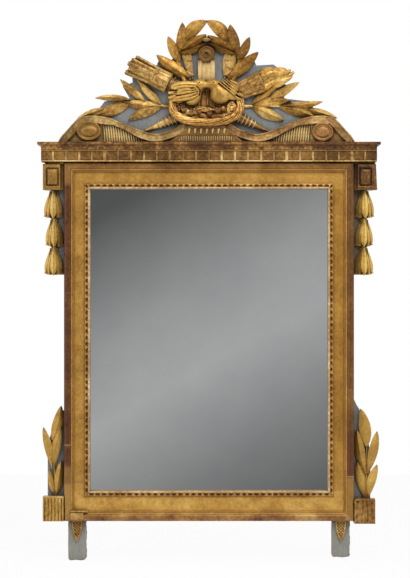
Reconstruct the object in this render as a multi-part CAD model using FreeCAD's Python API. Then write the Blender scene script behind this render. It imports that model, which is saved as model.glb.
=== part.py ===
import FreeCAD, Part
import math
import os

from FreeCAD import Vector

# Giltwood wall mirror in the neoclassical taste of the late eighteenth century.
#
# A half-lapped pine frame carries the glass in a rebate, with mitred mouldings on its face, a cornice with
# dentils on its head, ears with husks and laurel at its sides, two stub feet, and a carved crest with a pair
# of doves on a nest, a crossed quiver and torch, laurel branches and a laurel crown.
#
# Millimetres. +X is the viewer's right, +Z is up and the front looks along -Y. Depths are counted forward
# from the wall, so a depth d lies at y = -d. Heights are counted from the soles of the feet while the
# pieces are made, and every piece is lowered at the end, which puts the origin in the middle of the top
# rail's back face, on the wall.

# Frame
SIGHT_WIDTH = 476.0
SIGHT_HEIGHT = 604.0
STILE_WIDTH = 52.0
TOP_RAIL_HEIGHT = 54.0
BOTTOM_RAIL_HEIGHT = 60.0
CARCASS_DEPTH = 26.0
LAP_DEPTH = 13.0
REBATE_WIDTH = 8.0
REBATE_DEPTH = 18.0
PEG_RADIUS = 4.0
PEG_LENGTH = 22.0
PEG_SPREAD = 11.0

# Mouldings on the face of the frame
OUTER_MOULDING_WIDTH = 20.0
OUTER_MOULDING_RISE = 12.0
OUTER_FILLET_WIDTH = 3.0
OUTER_BEAD_WIDTH = 4.0
SIGHT_MOULDING_WIDTH = 12.0
SIGHT_MOULDING_RISE = 7.0
SIGHT_LIP_WIDTH = 5.0
LEAF_TIP_PITCH = 12.7
LEAF_TIP_GAP = 6.0
LEAF_TIP_FLOOR = 2.0

# Glass and its back
GLASS_THICKNESS = 4.0
GLASS_PLAY = 1.0
BACKBOARD_COUNT = 3
BACKBOARD_THICKNESS = 10.0
BACKBOARD_PLAY = 0.5
TONGUE_THICKNESS = 3.0
TONGUE_LENGTH = 5.0
NAIL_RADIUS = 1.1
NAIL_LENGTH = 18.0
NAIL_BITE = 7.0
NAILS_PER_STILE = 4
NAILS_PER_RAIL = 3

# Hanging irons, let into the backs of the stiles
HANGER_DROP = 40.0
POCKET_DEPTH = 9.0
POCKET_MARGIN = 1.5
PLATE_WIDTH = 18.0
PLATE_LENGTH = 46.0
PLATE_THICKNESS = 1.5
KNUCKLE_LENGTH = 5.0
KNUCKLE_WALL = 1.5
RING_BORE_RADIUS = 11.0
RING_BAND = 3.0
RING_THICKNESS = 3.0
RING_PLAY = 0.4
SCREW_RADIUS = 1.8
SCREW_LENGTH = 14.0
SCREW_HEAD_RADIUS = 3.6
SCREW_SLOT_WIDTH = 0.8
PLATE_SCREW_SHARES = (0.62, 0.88)

# Cornice
DENTIL_COURSE_HEIGHT = 24.0
DENTIL_COURSE_DEPTH = 46.0
DENTIL_COUNT = 26
DENTIL_GAP = 5.8
DENTIL_RELIEF = 5.0
DENTIL_BASE = 3.0
DENTIL_CAP = 3.0
CORNICE_HEIGHT = 15.0
CORNICE_OVERHANG = 7.0
CORNICE_FILLET = 5.0

# Ears beside the stiles
EAR_WIDTH = 42.0
EAR_INSET = 3.0
EAR_BACK = 2.0
EAR_BOARD_DEPTH = 14.0
UPPER_BLOCK_TOP_GAP = 4.0
UPPER_BLOCK_HEIGHT = 52.0
UPPER_BLOCK_GAP = 7.0
UPPER_BLOCK_DEPTH = 20.0
BLOCK_PANEL_RISE = 6.0
BLOCK_PANEL_BORDER = 4.0
BLOCK_PANEL_BEVEL = 6.0
HUSK_COUNT = 3
HUSK_LENGTH = 57.0
HUSK_WIDTH = 38.0
HUSK_RISE = 17.0
LOWER_BLOCK_HEIGHT = 50.0
LOWER_BLOCK_DEPTH = 24.0
RIGHT_BLOCK_DROP = 5.0
LOWER_BLOCK_FLUTES = 4
LOWER_BLOCK_FLUTE_RADIUS = 3.2
LOWER_BOARD_HEIGHT = 220.0

# Feet; the right one is worn shorter
FOOT_HEIGHT = 80.0
RIGHT_FOOT_WEAR = 6.0
FOOT_WIDTH = 38.0
FOOT_THICKNESS = 18.0
FOOT_BACK = 4.0
FOOT_CENTRE_INSET = 26.0
FOOT_TENON_HEIGHT = 22.0
FOOT_TENON_MARGIN = 5.0
FOOT_CORNER_RADIUS = 5.0
FOOT_DROP_WIDTH = 21.0
FOOT_DROP_HEIGHT = 41.0
FOOT_DROP_RISE = 5.0
FOOT_DROP_BEVEL = 3.0

# Crest, in its own coordinates: u across from its middle, v up from a line a little above its foot
CREST_SHIFT = -5.0
CREST_FOOT = -5.0
CREST_BACK = 8.0
CREST_BOARD_THICKNESS = 14.0
BATTEN_SPACING = 180.0
BATTEN_WIDTH = 36.0
BATTEN_RISE = 110.0
BATTEN_HOLD = 36.0
SCROLL_DEPTH = 18.0
FLUTE_PANEL_DEPTH = 9.0
FLUTE_RADIUS = 2.4
FLUTE_PITCH = 6.6
PEDESTAL_DEPTH = 24.0
PEDESTAL_BEADS = 8
PEDESTAL_BEAD_RADIUS = 3.6
PEDESTAL_FLUTES = 13
PATERA_CENTRE = (236.0, 16.5)
PATERA_RADIUS = 20.5
PATERA_RISE = 7.0
DOVE_BODY_RADIUS = 17.0
DOVE_HEAD_RADIUS = 9.5
DOVE_BEAK_RADIUS = 3.8
DOVE_BEAK_TIP_RADIUS = 1.0
DOVE_SINK = 2.0
DOVE_RUMP = (-76, 97)
DOVE_BREAST = (-29, 87)
DOVE_BREAST_END = (-16, 86)
DOVE_HEAD = (-14, 114)
DOVE_BEAK_TIP = (-1.5, 111)
DOVE_FEATHER_RISE = 13.0
DOVE_FEATHER_EDGE = 6.0
DOVE_TAIL_RISE = 18.0
NEST_HALF_WIDTH = 77.0
NEST_BOTTOM = 28.0
NEST_HEIGHT = 56.0
NEST_PROJECTION = 36.0
NEST_RIM = 11.0
QUIVER_ENDS = ((-158.0, 153.5), (125.0, 16.5))
TORCH_ENDS = ((172.0, 142.0), (-124.0, 18.0))
CASE_RADIUS = 16.0
COLLAR_RADIUS = 19.0
COLLAR_LENGTH = 28.0
ARROW_LENGTH = 64.0
ARROW_RADIUS = 5.6
ARROW_COUNT = 6
ARROW_STEP = 5.0
ARROW_FLARE = 1.15
ARROW_HOLD = 4.0
TAIL_LENGTH = 78.0
TAIL_RADIUS = 13.0
TAIL_TIP_RADIUS = 2.0
TAIL_RINGS = 6
TAIL_RING_WIDTH = 4.0
TAIL_RING_RISE = 1.6
TORCH_CUP_LENGTH = 62.0
FLAME_LENGTH = 66.0
FLAME_HOLD = 6.0
FLAME_RISE = 17.0
FLAME_EDGE = 8.0
SHAFT_WIDTH = 34.0
SHAFT_SPAN = (112.0, 160.0)
SHAFT_DEPTH = 14.0
SHAFT_FLUTES = 4
SHAFT_FLUTE_RADIUS = 3.4
ROUNDEL_CENTRE_HEIGHT = 171.0
ROUNDEL_RADIUS = 16.5
ROUNDEL_DEPTH = 20.0
STEM_RADIUS = 4.0
LEAF_RISE = 11.0
LEAF_EDGE = 5.0
CROWN_LEAF_RISE = 14.0
RIBBON_RISE = 9.0
CHIP_VOLUME = 60.0

# Petals of a husk as shares of its width, length, width and rise: tip across, tip up, width, rise
HUSK_PETALS = ((0.0, 0.0, 0.50, 1.0), (0.30, 0.02, 0.42, 0.72), (0.47, 0.08, 0.34, 0.5))

# Outer edge of the board behind a husk: shares of its length down and of its width across
HUSK_BOARD_EDGE = ((0.0, 0.14), (0.45, 0.29), (0.86, 0.42), (0.97, 0.20))

# Tongues of the flame: tip across and up from the end of the torch, width
FLAME_TONGUES = ((0, 0, 18), (-8, 16, 17), (-26, 20, 16), (-20, -14, 15))

# Leaves as base, tip and width: in u and v on the crest, in x from the stile and z from the block on a spray
LEFT_BRANCH_LEAVES = (
    ((-205, 63), (-258, 44), 15),
    ((-152, 76), (-232, 47), 23),
    ((-152, 80), (-223, 84), 14),
    ((-90, 68), (-168, 77), 19),
    ((-122, 77), (-173, 122), 16),
    ((-92, 72), (-139, 122), 18),
    ((-90, 68), (-156, 41), 21),
)
RIGHT_BRANCH_LEAVES = (
    ((203, 62), (262, 44), 16),
    ((147, 67), (219, 45), 21),
    ((153, 69), (233, 77), 16),
    ((92, 70), (169, 79), 19),
    ((124, 77), (186, 116), 19),
    ((92, 72), (153, 122), 18),
    ((92, 69), (155, 40), 22),
)
BRANCH_STEMS = (((-70, 67), (-205, 63)), ((70, 68), (203, 62)))
CROWN_LEAVES = (
    ((-42, 205), (0, 240), 23),
    ((42, 203), (1, 240), 23),
    ((-55, 174), (-48, 235), 21),
    ((62, 170), (47, 231), 24),
    ((-54, 156), (-77, 207), 21),
    ((64, 160), (86, 206), 19),
    ((-50, 178), (1, 210), 19),
    ((56, 176), (2, 208), 19),
    ((-52, 174), (2, 193), 15),
    ((58, 172), (4, 193), 15),
    ((-36, 126), (-100, 170), 25),
    ((44, 124), (104, 176), 25),
)
CROWN_HOOP = ((-44, 118), (-58, 165), (-46, 206), (0, 199), (48, 202), (66, 160), (52, 116))
CROWN_HOOP_WIDTH = 12.0
RIBBON_LEAVES = (((-30, 122), (-41, 178), 20), ((40, 122), (49, 180), 22))
WING_LEAVES = (((-30, 106), (-76, 100), 27), ((-34, 98), (-77, 88), 20))
TAIL_LEAF = ((-56, 94), (-79, 82), 20)
SPRAY_STEMS = (((18, 0), (23, 114)), ((25, 0), (26, 112)))
LEFT_SPRAY_LEAVES = (
    ((23, 114), (6, 180), 20),
    ((22, 54), (5, 138), 18),
    ((24, 56), (42, 137), 14),
    ((17, 0), (5, 70), 17),
    ((19, 0), (30, 52), 11),
)
RIGHT_SPRAY_LEAVES = (
    ((26, 112), (14, 178), 21),
    ((25, 52), (6, 137), 17),
    ((29, 54), (50, 134), 17),
    ((22, 0), (6, 73), 17),
    ((28, 0), (50, 67), 17),
)
LEAF_STATIONS = ((0.0, 0.22), (0.25, 0.80), (0.5, 1.0), (0.76, 0.70), (1.0, 0.10))

# Levels, sides and depths that follow from the sizes above
FRAME_BOTTOM = FOOT_HEIGHT
SIGHT_BOTTOM = FRAME_BOTTOM + BOTTOM_RAIL_HEIGHT
SIGHT_TOP = SIGHT_BOTTOM + SIGHT_HEIGHT
FRAME_TOP = SIGHT_TOP + TOP_RAIL_HEIGHT
COURSE_TOP = FRAME_TOP + DENTIL_COURSE_HEIGHT
CORNICE_TOP = COURSE_TOP + CORNICE_HEIGHT
SIGHT_HALF = SIGHT_WIDTH / 2
REBATE_HALF = SIGHT_HALF + REBATE_WIDTH
REBATE_BOTTOM = SIGHT_BOTTOM - REBATE_WIDTH
REBATE_TOP = SIGHT_TOP + REBATE_WIDTH
FRAME_HALF = SIGHT_HALF + STILE_WIDTH
EAR_HALF = FRAME_HALF + EAR_WIDTH
COURSE_HALF = EAR_HALF + EAR_INSET
ORIGIN_LEVEL = (REBATE_TOP + FRAME_TOP) / 2
EAR_FRONT = EAR_BACK + EAR_BOARD_DEPTH
EAR_CENTRE = FRAME_HALF + EAR_WIDTH / 2
FOOT_CENTRE = FRAME_HALF - FOOT_CENTRE_INSET
FOOT_FRONT = FOOT_BACK + FOOT_THICKNESS
CREST_FRONT = CREST_BACK + CREST_BOARD_THICKNESS
SCROLL_FRONT = CREST_FRONT + SCROLL_DEPTH
BACKBOARD_FRONT = REBATE_DEPTH - GLASS_THICKNESS
BACKBOARD_BACK = BACKBOARD_FRONT - BACKBOARD_THICKNESS
KNUCKLE_BORE = math.hypot(RING_BAND, RING_THICKNESS) / 2 + RING_PLAY
KNUCKLE_RADIUS = KNUCKLE_BORE + KNUCKLE_WALL
PLATE_BACK = POCKET_DEPTH - PLATE_THICKNESS
PIVOT_DEPTH = POCKET_DEPTH - KNUCKLE_RADIUS
HANGER_X = (REBATE_HALF + FRAME_HALF) / 2
HANGER_Z = SIGHT_TOP - HANGER_DROP
RING_MEAN_RADIUS = RING_BORE_RADIUS + RING_BAND / 2
RING_REACH = 2 * RING_MEAN_RADIUS + RING_BAND / 2
FAR = 2000.0

LEFT = -1
RIGHT = 1
SIDES = {"left": LEFT, "right": RIGHT}


# Shape helpers


class Via(tuple):
    """Marks a step of an outline as the middle of an arc between its neighbours."""


def via(u, v):
    return Via((u, v))


def on_face(depth):
    """Maps outline steps to points at one depth from the wall."""
    return lambda x, z: Vector(x, -depth, z)


def closed_wire(steps, place):
    """Closed wire of lines, and of arcs where a step is a Via."""
    points = [place(*step) for step in steps]
    count = len(steps)
    edges = []
    i = 0
    while i < count:
        middle = (i + 1) % count
        if isinstance(steps[middle], Via):
            edges.append(Part.Arc(points[i], points[middle], points[(i + 2) % count]).toShape())
            i += 2
        else:
            edges.append(Part.LineSegment(points[i], points[middle]).toShape())
            i += 1
    return Part.Wire(edges)


def board(steps, back, front):
    """Flat piece with an outline in x and z, between two depths."""
    return Part.Face(closed_wire(steps, on_face(back))).extrude(Vector(0, back - front, 0))


def slab(x_range, z_range, back, front):
    """Rectangular piece; the x range may run either way."""
    x0, x1 = sorted(x_range)
    z0, z1 = z_range
    return Part.makeBox(x1 - x0, front - back, z1 - z0, Vector(x0, -front, z0))


def rod(start, end, radius, end_radius=None):
    """Round bar, or cone, between two points."""
    axis = end - start
    if end_radius is None:
        return Part.makeCylinder(radius, axis.Length, start, axis)
    return Part.makeCone(radius, end_radius, axis.Length, start, axis)


def spindle(start, end, radius):
    """Round body between two points, swelling to its radius halfway."""
    axis = end - start
    swell = (start + end) * 0.5 + axis.cross(Vector(0, -1, 0)).normalize() * radius
    outline = [Part.Arc(start, swell, end).toShape(), Part.LineSegment(end, start).toShape()]
    return Part.Face(Part.Wire(outline)).revolve(start, axis, 360)


def turned(steps, centre):
    """Boss turned about an axis through the wall, from steps across from its axis and out from its back."""
    profile = closed_wire(steps, lambda across, out: Vector(across, -out, 0))
    boss = Part.Face(profile).revolve(Vector(0, 0, 0), Vector(0, 1, 0), 360)
    boss.translate(centre)
    return boss


def fused(pieces):
    """One solid from pieces that run into each other."""
    return pieces[0].multiFuse(pieces[1:]) if len(pieces) > 1 else pieces[0]


def fitted(piece, neighbours):
    """The piece cut back to where its neighbours stand, without the chips that fall off."""
    near = [n for n in neighbours if n.BoundBox.intersect(piece.BoundBox)]
    if not near:
        return piece
    left = piece.cut(near)
    kept = [s for s in left.Solids if s.Volume > CHIP_VOLUME]
    return kept[0] if len(kept) == 1 else Part.makeCompound(kept)


def behind(depth):
    """Everything between the wall and a depth, to cut a carving flat at its back."""
    return slab((-FAR, FAR), (-FAR, FAR), depth - FAR, depth)


def leaf(base, tip, width, seat, rise=LEAF_RISE, edge=LEAF_EDGE):
    """Laurel leaf lofted along its midrib, flat on its seat, with a ridge down the middle."""
    run = Vector(tip[0] - base[0], 0, tip[1] - base[1])
    across = Vector(run.z, 0, -run.x).normalize()
    sections = []
    for share, fullness in LEAF_STATIONS:
        middle = Vector(base[0], -seat, base[1]) + run * share
        half = across * (width / 2 * fullness)
        out = Vector(0, -edge, 0)
        ridge = Vector(0, -(edge + (rise - edge) * fullness), 0)
        corners = [middle - half, middle + half, middle + half + out, middle + ridge, middle - half + out]
        sections.append(Part.makePolygon(corners + corners[:1]))
    return Part.makeLoft(sections, True, False)


# Frame


def rebate():
    return slab((-REBATE_HALF, REBATE_HALF), (REBATE_BOTTOM, REBATE_TOP), 0, REBATE_DEPTH)


def stile(side):
    """Upright whose back half runs through the corners, under the rails' front halves."""
    through = slab((side * REBATE_HALF, side * FRAME_HALF), (FRAME_BOTTOM, FRAME_TOP), 0, LAP_DEPTH)
    face = slab((side * SIGHT_HALF, side * FRAME_HALF), (SIGHT_BOTTOM, SIGHT_TOP), LAP_DEPTH, CARCASS_DEPTH)
    return through.fuse(face).cut(rebate()).removeSplitter()


def rail(bottom, top, rebate_bottom, rebate_top):
    """Rail whose front half runs through the corners, over the stiles' back halves."""
    between = slab((-REBATE_HALF, REBATE_HALF), (rebate_bottom, rebate_top), 0, LAP_DEPTH)
    face = slab((-FRAME_HALF, FRAME_HALF), (bottom, top), LAP_DEPTH, CARCASS_DEPTH)
    return between.fuse(face).cut(rebate()).removeSplitter()


def corner_pegs():
    """Two oak pegs through each half-lap, driven from the back."""
    pegs = []
    lap_x = (REBATE_HALF + FRAME_HALF) / 2
    for side in SIDES.values():
        for lap_z in ((FRAME_BOTTOM + REBATE_BOTTOM) / 2, (REBATE_TOP + FRAME_TOP) / 2):
            for step in (-PEG_SPREAD, PEG_SPREAD):
                start = Vector(side * (lap_x + step), 0, lap_z + step)
                pegs.append(rod(start, start + Vector(0, -PEG_LENGTH, 0), PEG_RADIUS))
    return Part.makeCompound(pegs)


def mitred_strip(name, rectangle, width, profile):
    """Moulding along one side of a rectangle, mitred at its ends.

    The rectangle is the moulding's outer edge if width is positive, and its inner edge if negative. The
    profile is in steps across from that edge and up from the face of the frame.
    """
    x0, x1, z0, z1 = rectangle
    corners = {
        "left": (((x0, z0), (x0, z1)), (1, 0)),
        "right": (((x1, z0), (x1, z1)), (-1, 0)),
        "top": (((x0, z1), (x1, z1)), (0, -1)),
        "bottom": (((x0, z0), (x1, z0)), (0, 1)),
    }
    (start, end), inward = corners[name]
    across = Vector(inward[0], 0, inward[1]) * width
    run = Vector(end[0] - start[0], 0, end[1] - start[1])
    mitre = run * (width / run.Length)
    near_start = Vector(start[0], -CARCASS_DEPTH, start[1])
    near_end = near_start + run
    spare = run * (abs(width) / run.Length)

    def place(w, rise):
        return near_start - spare + across * (w / abs(width)) + Vector(0, -rise, 0)

    prism = Part.Face(closed_wire(profile, place)).extrude(run + spare * 2)
    far_start = near_start + across + mitre
    far_end = near_end + across - mitre
    plan = Part.makePolygon([near_start, near_end, far_end, far_start, near_start])
    wedge = Part.Face(plan).extrude(Vector(0, -FAR, 0))
    return prism.common(wedge)


def outer_moulding(name):
    """Ovolo at the outer edge of the frame, with a fillet and a small bead inside it."""
    fillet_start = OUTER_MOULDING_WIDTH - OUTER_BEAD_WIDTH - OUTER_FILLET_WIDTH
    fillet_end = fillet_start + OUTER_FILLET_WIDTH
    half_rise = OUTER_MOULDING_RISE / 2
    profile = (
        (0, 0),
        (0, half_rise),
        via(fillet_start * 0.25, OUTER_MOULDING_RISE * 0.86),
        (fillet_start, OUTER_MOULDING_RISE),
        (fillet_end, OUTER_MOULDING_RISE),
        (fillet_end, half_rise),
        via(fillet_end + OUTER_BEAD_WIDTH / 2, half_rise + OUTER_BEAD_WIDTH * 0.4),
        (OUTER_MOULDING_WIDTH, half_rise),
        (OUTER_MOULDING_WIDTH, 0),
    )
    rectangle = (-FRAME_HALF, FRAME_HALF, FRAME_BOTTOM, FRAME_TOP)
    return mitred_strip(name, rectangle, OUTER_MOULDING_WIDTH, profile)


def sight_moulding(name):
    """Leaf-tip moulding round the glass: a bevelled lip and a row of tongues parted by notches."""
    profile = (
        (0, 0),
        (0, SIGHT_MOULDING_RISE * 0.4),
        (SIGHT_LIP_WIDTH * 0.8, SIGHT_MOULDING_RISE),
        (SIGHT_LIP_WIDTH, SIGHT_MOULDING_RISE),
        via(SIGHT_MOULDING_WIDTH * 0.8, SIGHT_MOULDING_RISE * 0.72),
        (SIGHT_MOULDING_WIDTH, LEAF_TIP_FLOOR),
        (SIGHT_MOULDING_WIDTH, 0),
    )
    rectangle = (-SIGHT_HALF, SIGHT_HALF, SIGHT_BOTTOM, SIGHT_TOP)
    strip = mitred_strip(name, rectangle, -SIGHT_MOULDING_WIDTH, profile)
    return strip.cut(leaf_tip_notches(name))


def leaf_tip_notches(name):
    """Three-cornered notches along one side of the sight moulding, evenly spaced between the mitres."""
    upright = name in SIDES
    length = SIGHT_HEIGHT if upright else SIGHT_WIDTH
    edge = SIGHT_HALF if upright else SIGHT_HEIGHT / 2
    sign = -1 if name in ("left", "bottom") else 1
    count = int(length // LEAF_TIP_PITCH)
    first = -(count - 1) / 2 * LEAF_TIP_PITCH
    middle_z = (SIGHT_BOTTOM + SIGHT_TOP) / 2
    floor = CARCASS_DEPTH + LEAF_TIP_FLOOR
    notches = []
    for k in range(count):
        centre = first + k * LEAF_TIP_PITCH
        plan = (
            (edge + SIGHT_LIP_WIDTH, centre),
            (edge + SIGHT_MOULDING_WIDTH, centre - LEAF_TIP_GAP / 2),
            (edge + SIGHT_MOULDING_WIDTH, centre + LEAF_TIP_GAP / 2),
        )
        if upright:
            steps = [(sign * out, middle_z + s) for out, s in plan]
        else:
            steps = [(s, middle_z + sign * out) for out, s in plan]
        notches.append(board(steps, floor, floor + SIGHT_MOULDING_RISE))
    return notches


# Glass and its back


def mirror_glass():
    half = REBATE_HALF - GLASS_PLAY
    levels = (REBATE_BOTTOM + GLASS_PLAY, REBATE_TOP - GLASS_PLAY)
    return slab((-half, half), levels, REBATE_DEPTH - GLASS_THICKNESS, REBATE_DEPTH)


def backboard(index):
    """One plank of the back, counted from the bottom, tongued into the plank above it."""
    half = REBATE_HALF - BACKBOARD_PLAY
    bottom = REBATE_BOTTOM + BACKBOARD_PLAY
    height = (REBATE_TOP - BACKBOARD_PLAY - bottom) / BACKBOARD_COUNT
    low = bottom + index * height
    plank = slab((-half, half), (low, low + height), BACKBOARD_BACK, BACKBOARD_FRONT)
    tongue_back = (BACKBOARD_BACK + BACKBOARD_FRONT - TONGUE_THICKNESS) / 2
    tongue_depths = (tongue_back, tongue_back + TONGUE_THICKNESS)
    if index > 0:
        plank = plank.cut(slab((-half, half), (low, low + TONGUE_LENGTH), *tongue_depths))
    if index < BACKBOARD_COUNT - 1:
        top = low + height
        plank = plank.fuse(slab((-half, half), (top, top + TONGUE_LENGTH), *tongue_depths))
    return plank.removeSplitter()


def backboard_nails():
    """Brads driven into the walls of the rebate, lying against the back of the planks."""
    level = BACKBOARD_BACK - NAIL_RADIUS
    nails = []

    def nail(wall, inward):
        start = wall - inward * NAIL_BITE
        nails.append(rod(start, start + inward * NAIL_LENGTH, NAIL_RADIUS))

    for k in range(NAILS_PER_STILE):
        z = REBATE_BOTTOM + (REBATE_TOP - REBATE_BOTTOM) * (k + 0.5) / NAILS_PER_STILE
        for side in SIDES.values():
            nail(Vector(side * REBATE_HALF, -level, z), Vector(-side, 0, 0))
    for k in range(NAILS_PER_RAIL):
        x = -REBATE_HALF + 2 * REBATE_HALF * (k + 0.5) / NAILS_PER_RAIL
        nail(Vector(x, -level, REBATE_BOTTOM), Vector(0, 0, 1))
        nail(Vector(x, -level, REBATE_TOP), Vector(0, 0, -1))
    return Part.makeCompound(nails)


# Hanging irons


def hanger_pocket(side):
    """Recess in the back of a stile, long enough for the ring to hang down or be turned up."""
    half = RING_BORE_RADIUS + RING_BAND + POCKET_MARGIN
    below = max(PLATE_LENGTH, RING_REACH) + POCKET_MARGIN
    above = RING_REACH + POCKET_MARGIN
    x = side * HANGER_X
    return slab((x - half, x + half), (HANGER_Z - below, HANGER_Z + above), 0, POCKET_DEPTH)


def hanger_plate(side):
    """Strap of sheet iron with an eye rolled at its top for the ring, and two countersunk holes."""
    x = side * HANGER_X
    half = PLATE_WIDTH / 2
    neck = KNUCKLE_LENGTH / 2
    shoulder = HANGER_Z - 2 * KNUCKLE_RADIUS
    strap = slab((x - half, x + half), (HANGER_Z - PLATE_LENGTH, shoulder), PLATE_BACK, POCKET_DEPTH)
    tongue = slab((x - neck, x + neck), (shoulder, HANGER_Z), PLATE_BACK, POCKET_DEPTH)
    eye_start = Vector(x - neck, -PIVOT_DEPTH, HANGER_Z)
    eye_end = Vector(x + neck, -PIVOT_DEPTH, HANGER_Z)
    bore = rod(eye_start, eye_end, KNUCKLE_BORE)
    eye = rod(eye_start, eye_end, KNUCKLE_RADIUS)
    return fused([strap, tongue, eye]).cut([bore] + hanger_screws(side)).removeSplitter()


def hanging_ring(side):
    """Flat forged ring hanging from the eye, in front of its strap."""
    x = side * HANGER_X
    front = PIVOT_DEPTH + RING_THICKNESS / 2
    centre = Vector(x, -front, HANGER_Z - RING_MEAN_RADIUS)
    out = Vector(0, 1, 0)
    outer = Part.makeCylinder(RING_BORE_RADIUS + RING_BAND, RING_THICKNESS, centre, out)
    return outer.cut(Part.makeCylinder(RING_BORE_RADIUS, RING_THICKNESS, centre, out))


def screw(head_centre):
    """Countersunk slotted screw driven forward from the back, flush with the face round its head."""
    out = Vector(0, 1, 0)
    taper = SCREW_HEAD_RADIUS - SCREW_RADIUS
    shank = rod(head_centre - out * SCREW_LENGTH, head_centre - out * taper, SCREW_RADIUS)
    head = rod(head_centre - out * taper, head_centre, SCREW_RADIUS, SCREW_HEAD_RADIUS)
    return shank.fuse(head)


def hanger_screws(side):
    return [
        screw(Vector(side * HANGER_X, -PLATE_BACK, HANGER_Z - PLATE_LENGTH * share))
        for share in PLATE_SCREW_SHARES
    ]


def batten_screws():
    """Screws through each batten into the top rail, the cornice and the crest board."""
    levels = (FRAME_TOP - BATTEN_HOLD / 2, (COURSE_TOP + CORNICE_TOP) / 2, CORNICE_TOP + BATTEN_RISE * 0.75)
    return [
        screw(Vector(CREST_SHIFT + side * BATTEN_SPACING / 2, 0, z))
        for side in SIDES.values()
        for z in levels
    ]


def slotted(screws):
    """Screws with a slot across each head."""
    made = []
    for piece in screws:
        box = piece.BoundBox
        slot = Part.makeBox(
            box.XLength, SCREW_SLOT_WIDTH, SCREW_SLOT_WIDTH,
            Vector(box.XMin, box.YMax - SCREW_SLOT_WIDTH, box.Center.z - SCREW_SLOT_WIDTH / 2),
        )
        made.append(piece.cut(slot))
    return Part.makeCompound(made)


# Cornice


def dentil_course():
    """Band under the cornice with sawn dentils on its face and its two ends."""
    course = slab((-COURSE_HALF, COURSE_HALF), (FRAME_TOP, COURSE_TOP), 0, DENTIL_COURSE_DEPTH)
    low = FRAME_TOP + DENTIL_BASE
    high = COURSE_TOP - DENTIL_CAP
    floor = DENTIL_COURSE_DEPTH - DENTIL_RELIEF
    pitch = (2 * COURSE_HALF + DENTIL_GAP) / DENTIL_COUNT
    gaps = []
    for k in range(1, DENTIL_COUNT):
        x = -COURSE_HALF - DENTIL_GAP + k * pitch
        gaps.append(slab((x, x + DENTIL_GAP), (low, high), floor, DENTIL_COURSE_DEPTH))
    end_gap_front = DENTIL_COURSE_DEPTH - (pitch - DENTIL_GAP)
    for side in SIDES.values():
        ends = (side * (COURSE_HALF - DENTIL_RELIEF), side * COURSE_HALF)
        gaps.append(slab(ends, (low, high), end_gap_front - DENTIL_GAP, end_gap_front))
    return course.cut(gaps)


def cornice():
    """Crown moulding: a hollow under a fillet, returned along both ends."""
    reach = CORNICE_OVERHANG
    top_edge = CORNICE_TOP - CORNICE_FILLET
    hollow_start = COURSE_TOP + CORNICE_HEIGHT * 0.15

    def profile(projection):
        return (
            (0, COURSE_TOP),
            (projection, COURSE_TOP),
            (projection, hollow_start),
            via(projection + reach * 0.35, (hollow_start + top_edge) / 2 + reach * 0.3),
            (projection + reach, top_edge),
            (projection + reach, CORNICE_TOP),
            (0, CORNICE_TOP),
        )

    def in_section(d, z):
        return Vector(-FAR, -d, z)

    def in_elevation(sign):
        return lambda x, z: Vector(sign * x, FAR, z)

    front = Part.Face(closed_wire(profile(DENTIL_COURSE_DEPTH), in_section)).extrude(Vector(2 * FAR, 0, 0))
    ends = [
        Part.Face(closed_wire(profile(COURSE_HALF), in_elevation(sign))).extrude(Vector(0, -2 * FAR, 0))
        for sign in SIDES.values()
    ]
    return front.common(ends[0].fuse(ends[1]).removeSplitter())


# Ears


def upper_ear_board(side):
    """Painted board behind the block and the husks, sawn close to the husks on its outer side."""
    top = FRAME_TOP - UPPER_BLOCK_TOP_GAP - UPPER_BLOCK_HEIGHT
    outer = side * (EAR_HALF - EAR_INSET)
    steps = [(side * FRAME_HALF, FRAME_TOP), (outer, FRAME_TOP), (outer, top)]
    for k in range(HUSK_COUNT):
        for down, across in HUSK_BOARD_EDGE:
            steps.append((side * (EAR_CENTRE + across * HUSK_WIDTH), top - (k + down) * HUSK_LENGTH))
    steps.append((side * FRAME_HALF, steps[-1][1]))
    return board(steps, EAR_BACK, EAR_FRONT)


def upper_ear_block(side):
    """Block over the husks, with a bevelled panel raised on its face."""
    high = FRAME_TOP - UPPER_BLOCK_TOP_GAP
    low = high - UPPER_BLOCK_HEIGHT
    front = EAR_FRONT + UPPER_BLOCK_DEPTH
    ends = (side * (FRAME_HALF + UPPER_BLOCK_GAP), side * EAR_HALF)
    block = slab(ends, (low, high), EAR_FRONT, front)

    def ring(inset, depth):
        x0, x1 = sorted(ends)
        corners = [
            Vector(x0 + inset, -depth, low + inset),
            Vector(x1 - inset, -depth, low + inset),
            Vector(x1 - inset, -depth, high - inset),
            Vector(x0 + inset, -depth, high - inset),
        ]
        return Part.makePolygon(corners + corners[:1])

    bevel = BLOCK_PANEL_BORDER + BLOCK_PANEL_BEVEL
    rings = [ring(BLOCK_PANEL_BORDER, front), ring(bevel, front + BLOCK_PANEL_RISE)]
    return block.fuse(Part.makeLoft(rings, True, True))


def husk_drop(side):
    """Three bell husks hanging one from another, each of overlapping pointed petals."""
    x = side * EAR_CENTRE
    top = FRAME_TOP - UPPER_BLOCK_TOP_GAP - UPPER_BLOCK_HEIGHT
    petals = []
    for k in range(HUSK_COUNT):
        high = top - k * HUSK_LENGTH
        low = high - HUSK_LENGTH
        for tip_across, tip_up, width, rise in HUSK_PETALS:
            for turn in (-1, 1) if tip_across else (1,):
                tip = (x + turn * tip_across * HUSK_WIDTH, low + tip_up * HUSK_LENGTH)
                petals.append(leaf((x, high), tip, width * HUSK_WIDTH, EAR_FRONT, rise * HUSK_RISE))
    frame_side = slab((0, side * FRAME_HALF), (0, FAR), 0, FAR)
    above = slab((-FAR, FAR), (top, FAR), 0, FAR)
    return fitted(fused(petals), [frame_side, above])


def lower_ear_foot(side):
    """Level of the underside of a lower block; the right one sits a little lower."""
    return FRAME_BOTTOM - (RIGHT_BLOCK_DROP if side == RIGHT else 0)


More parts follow.
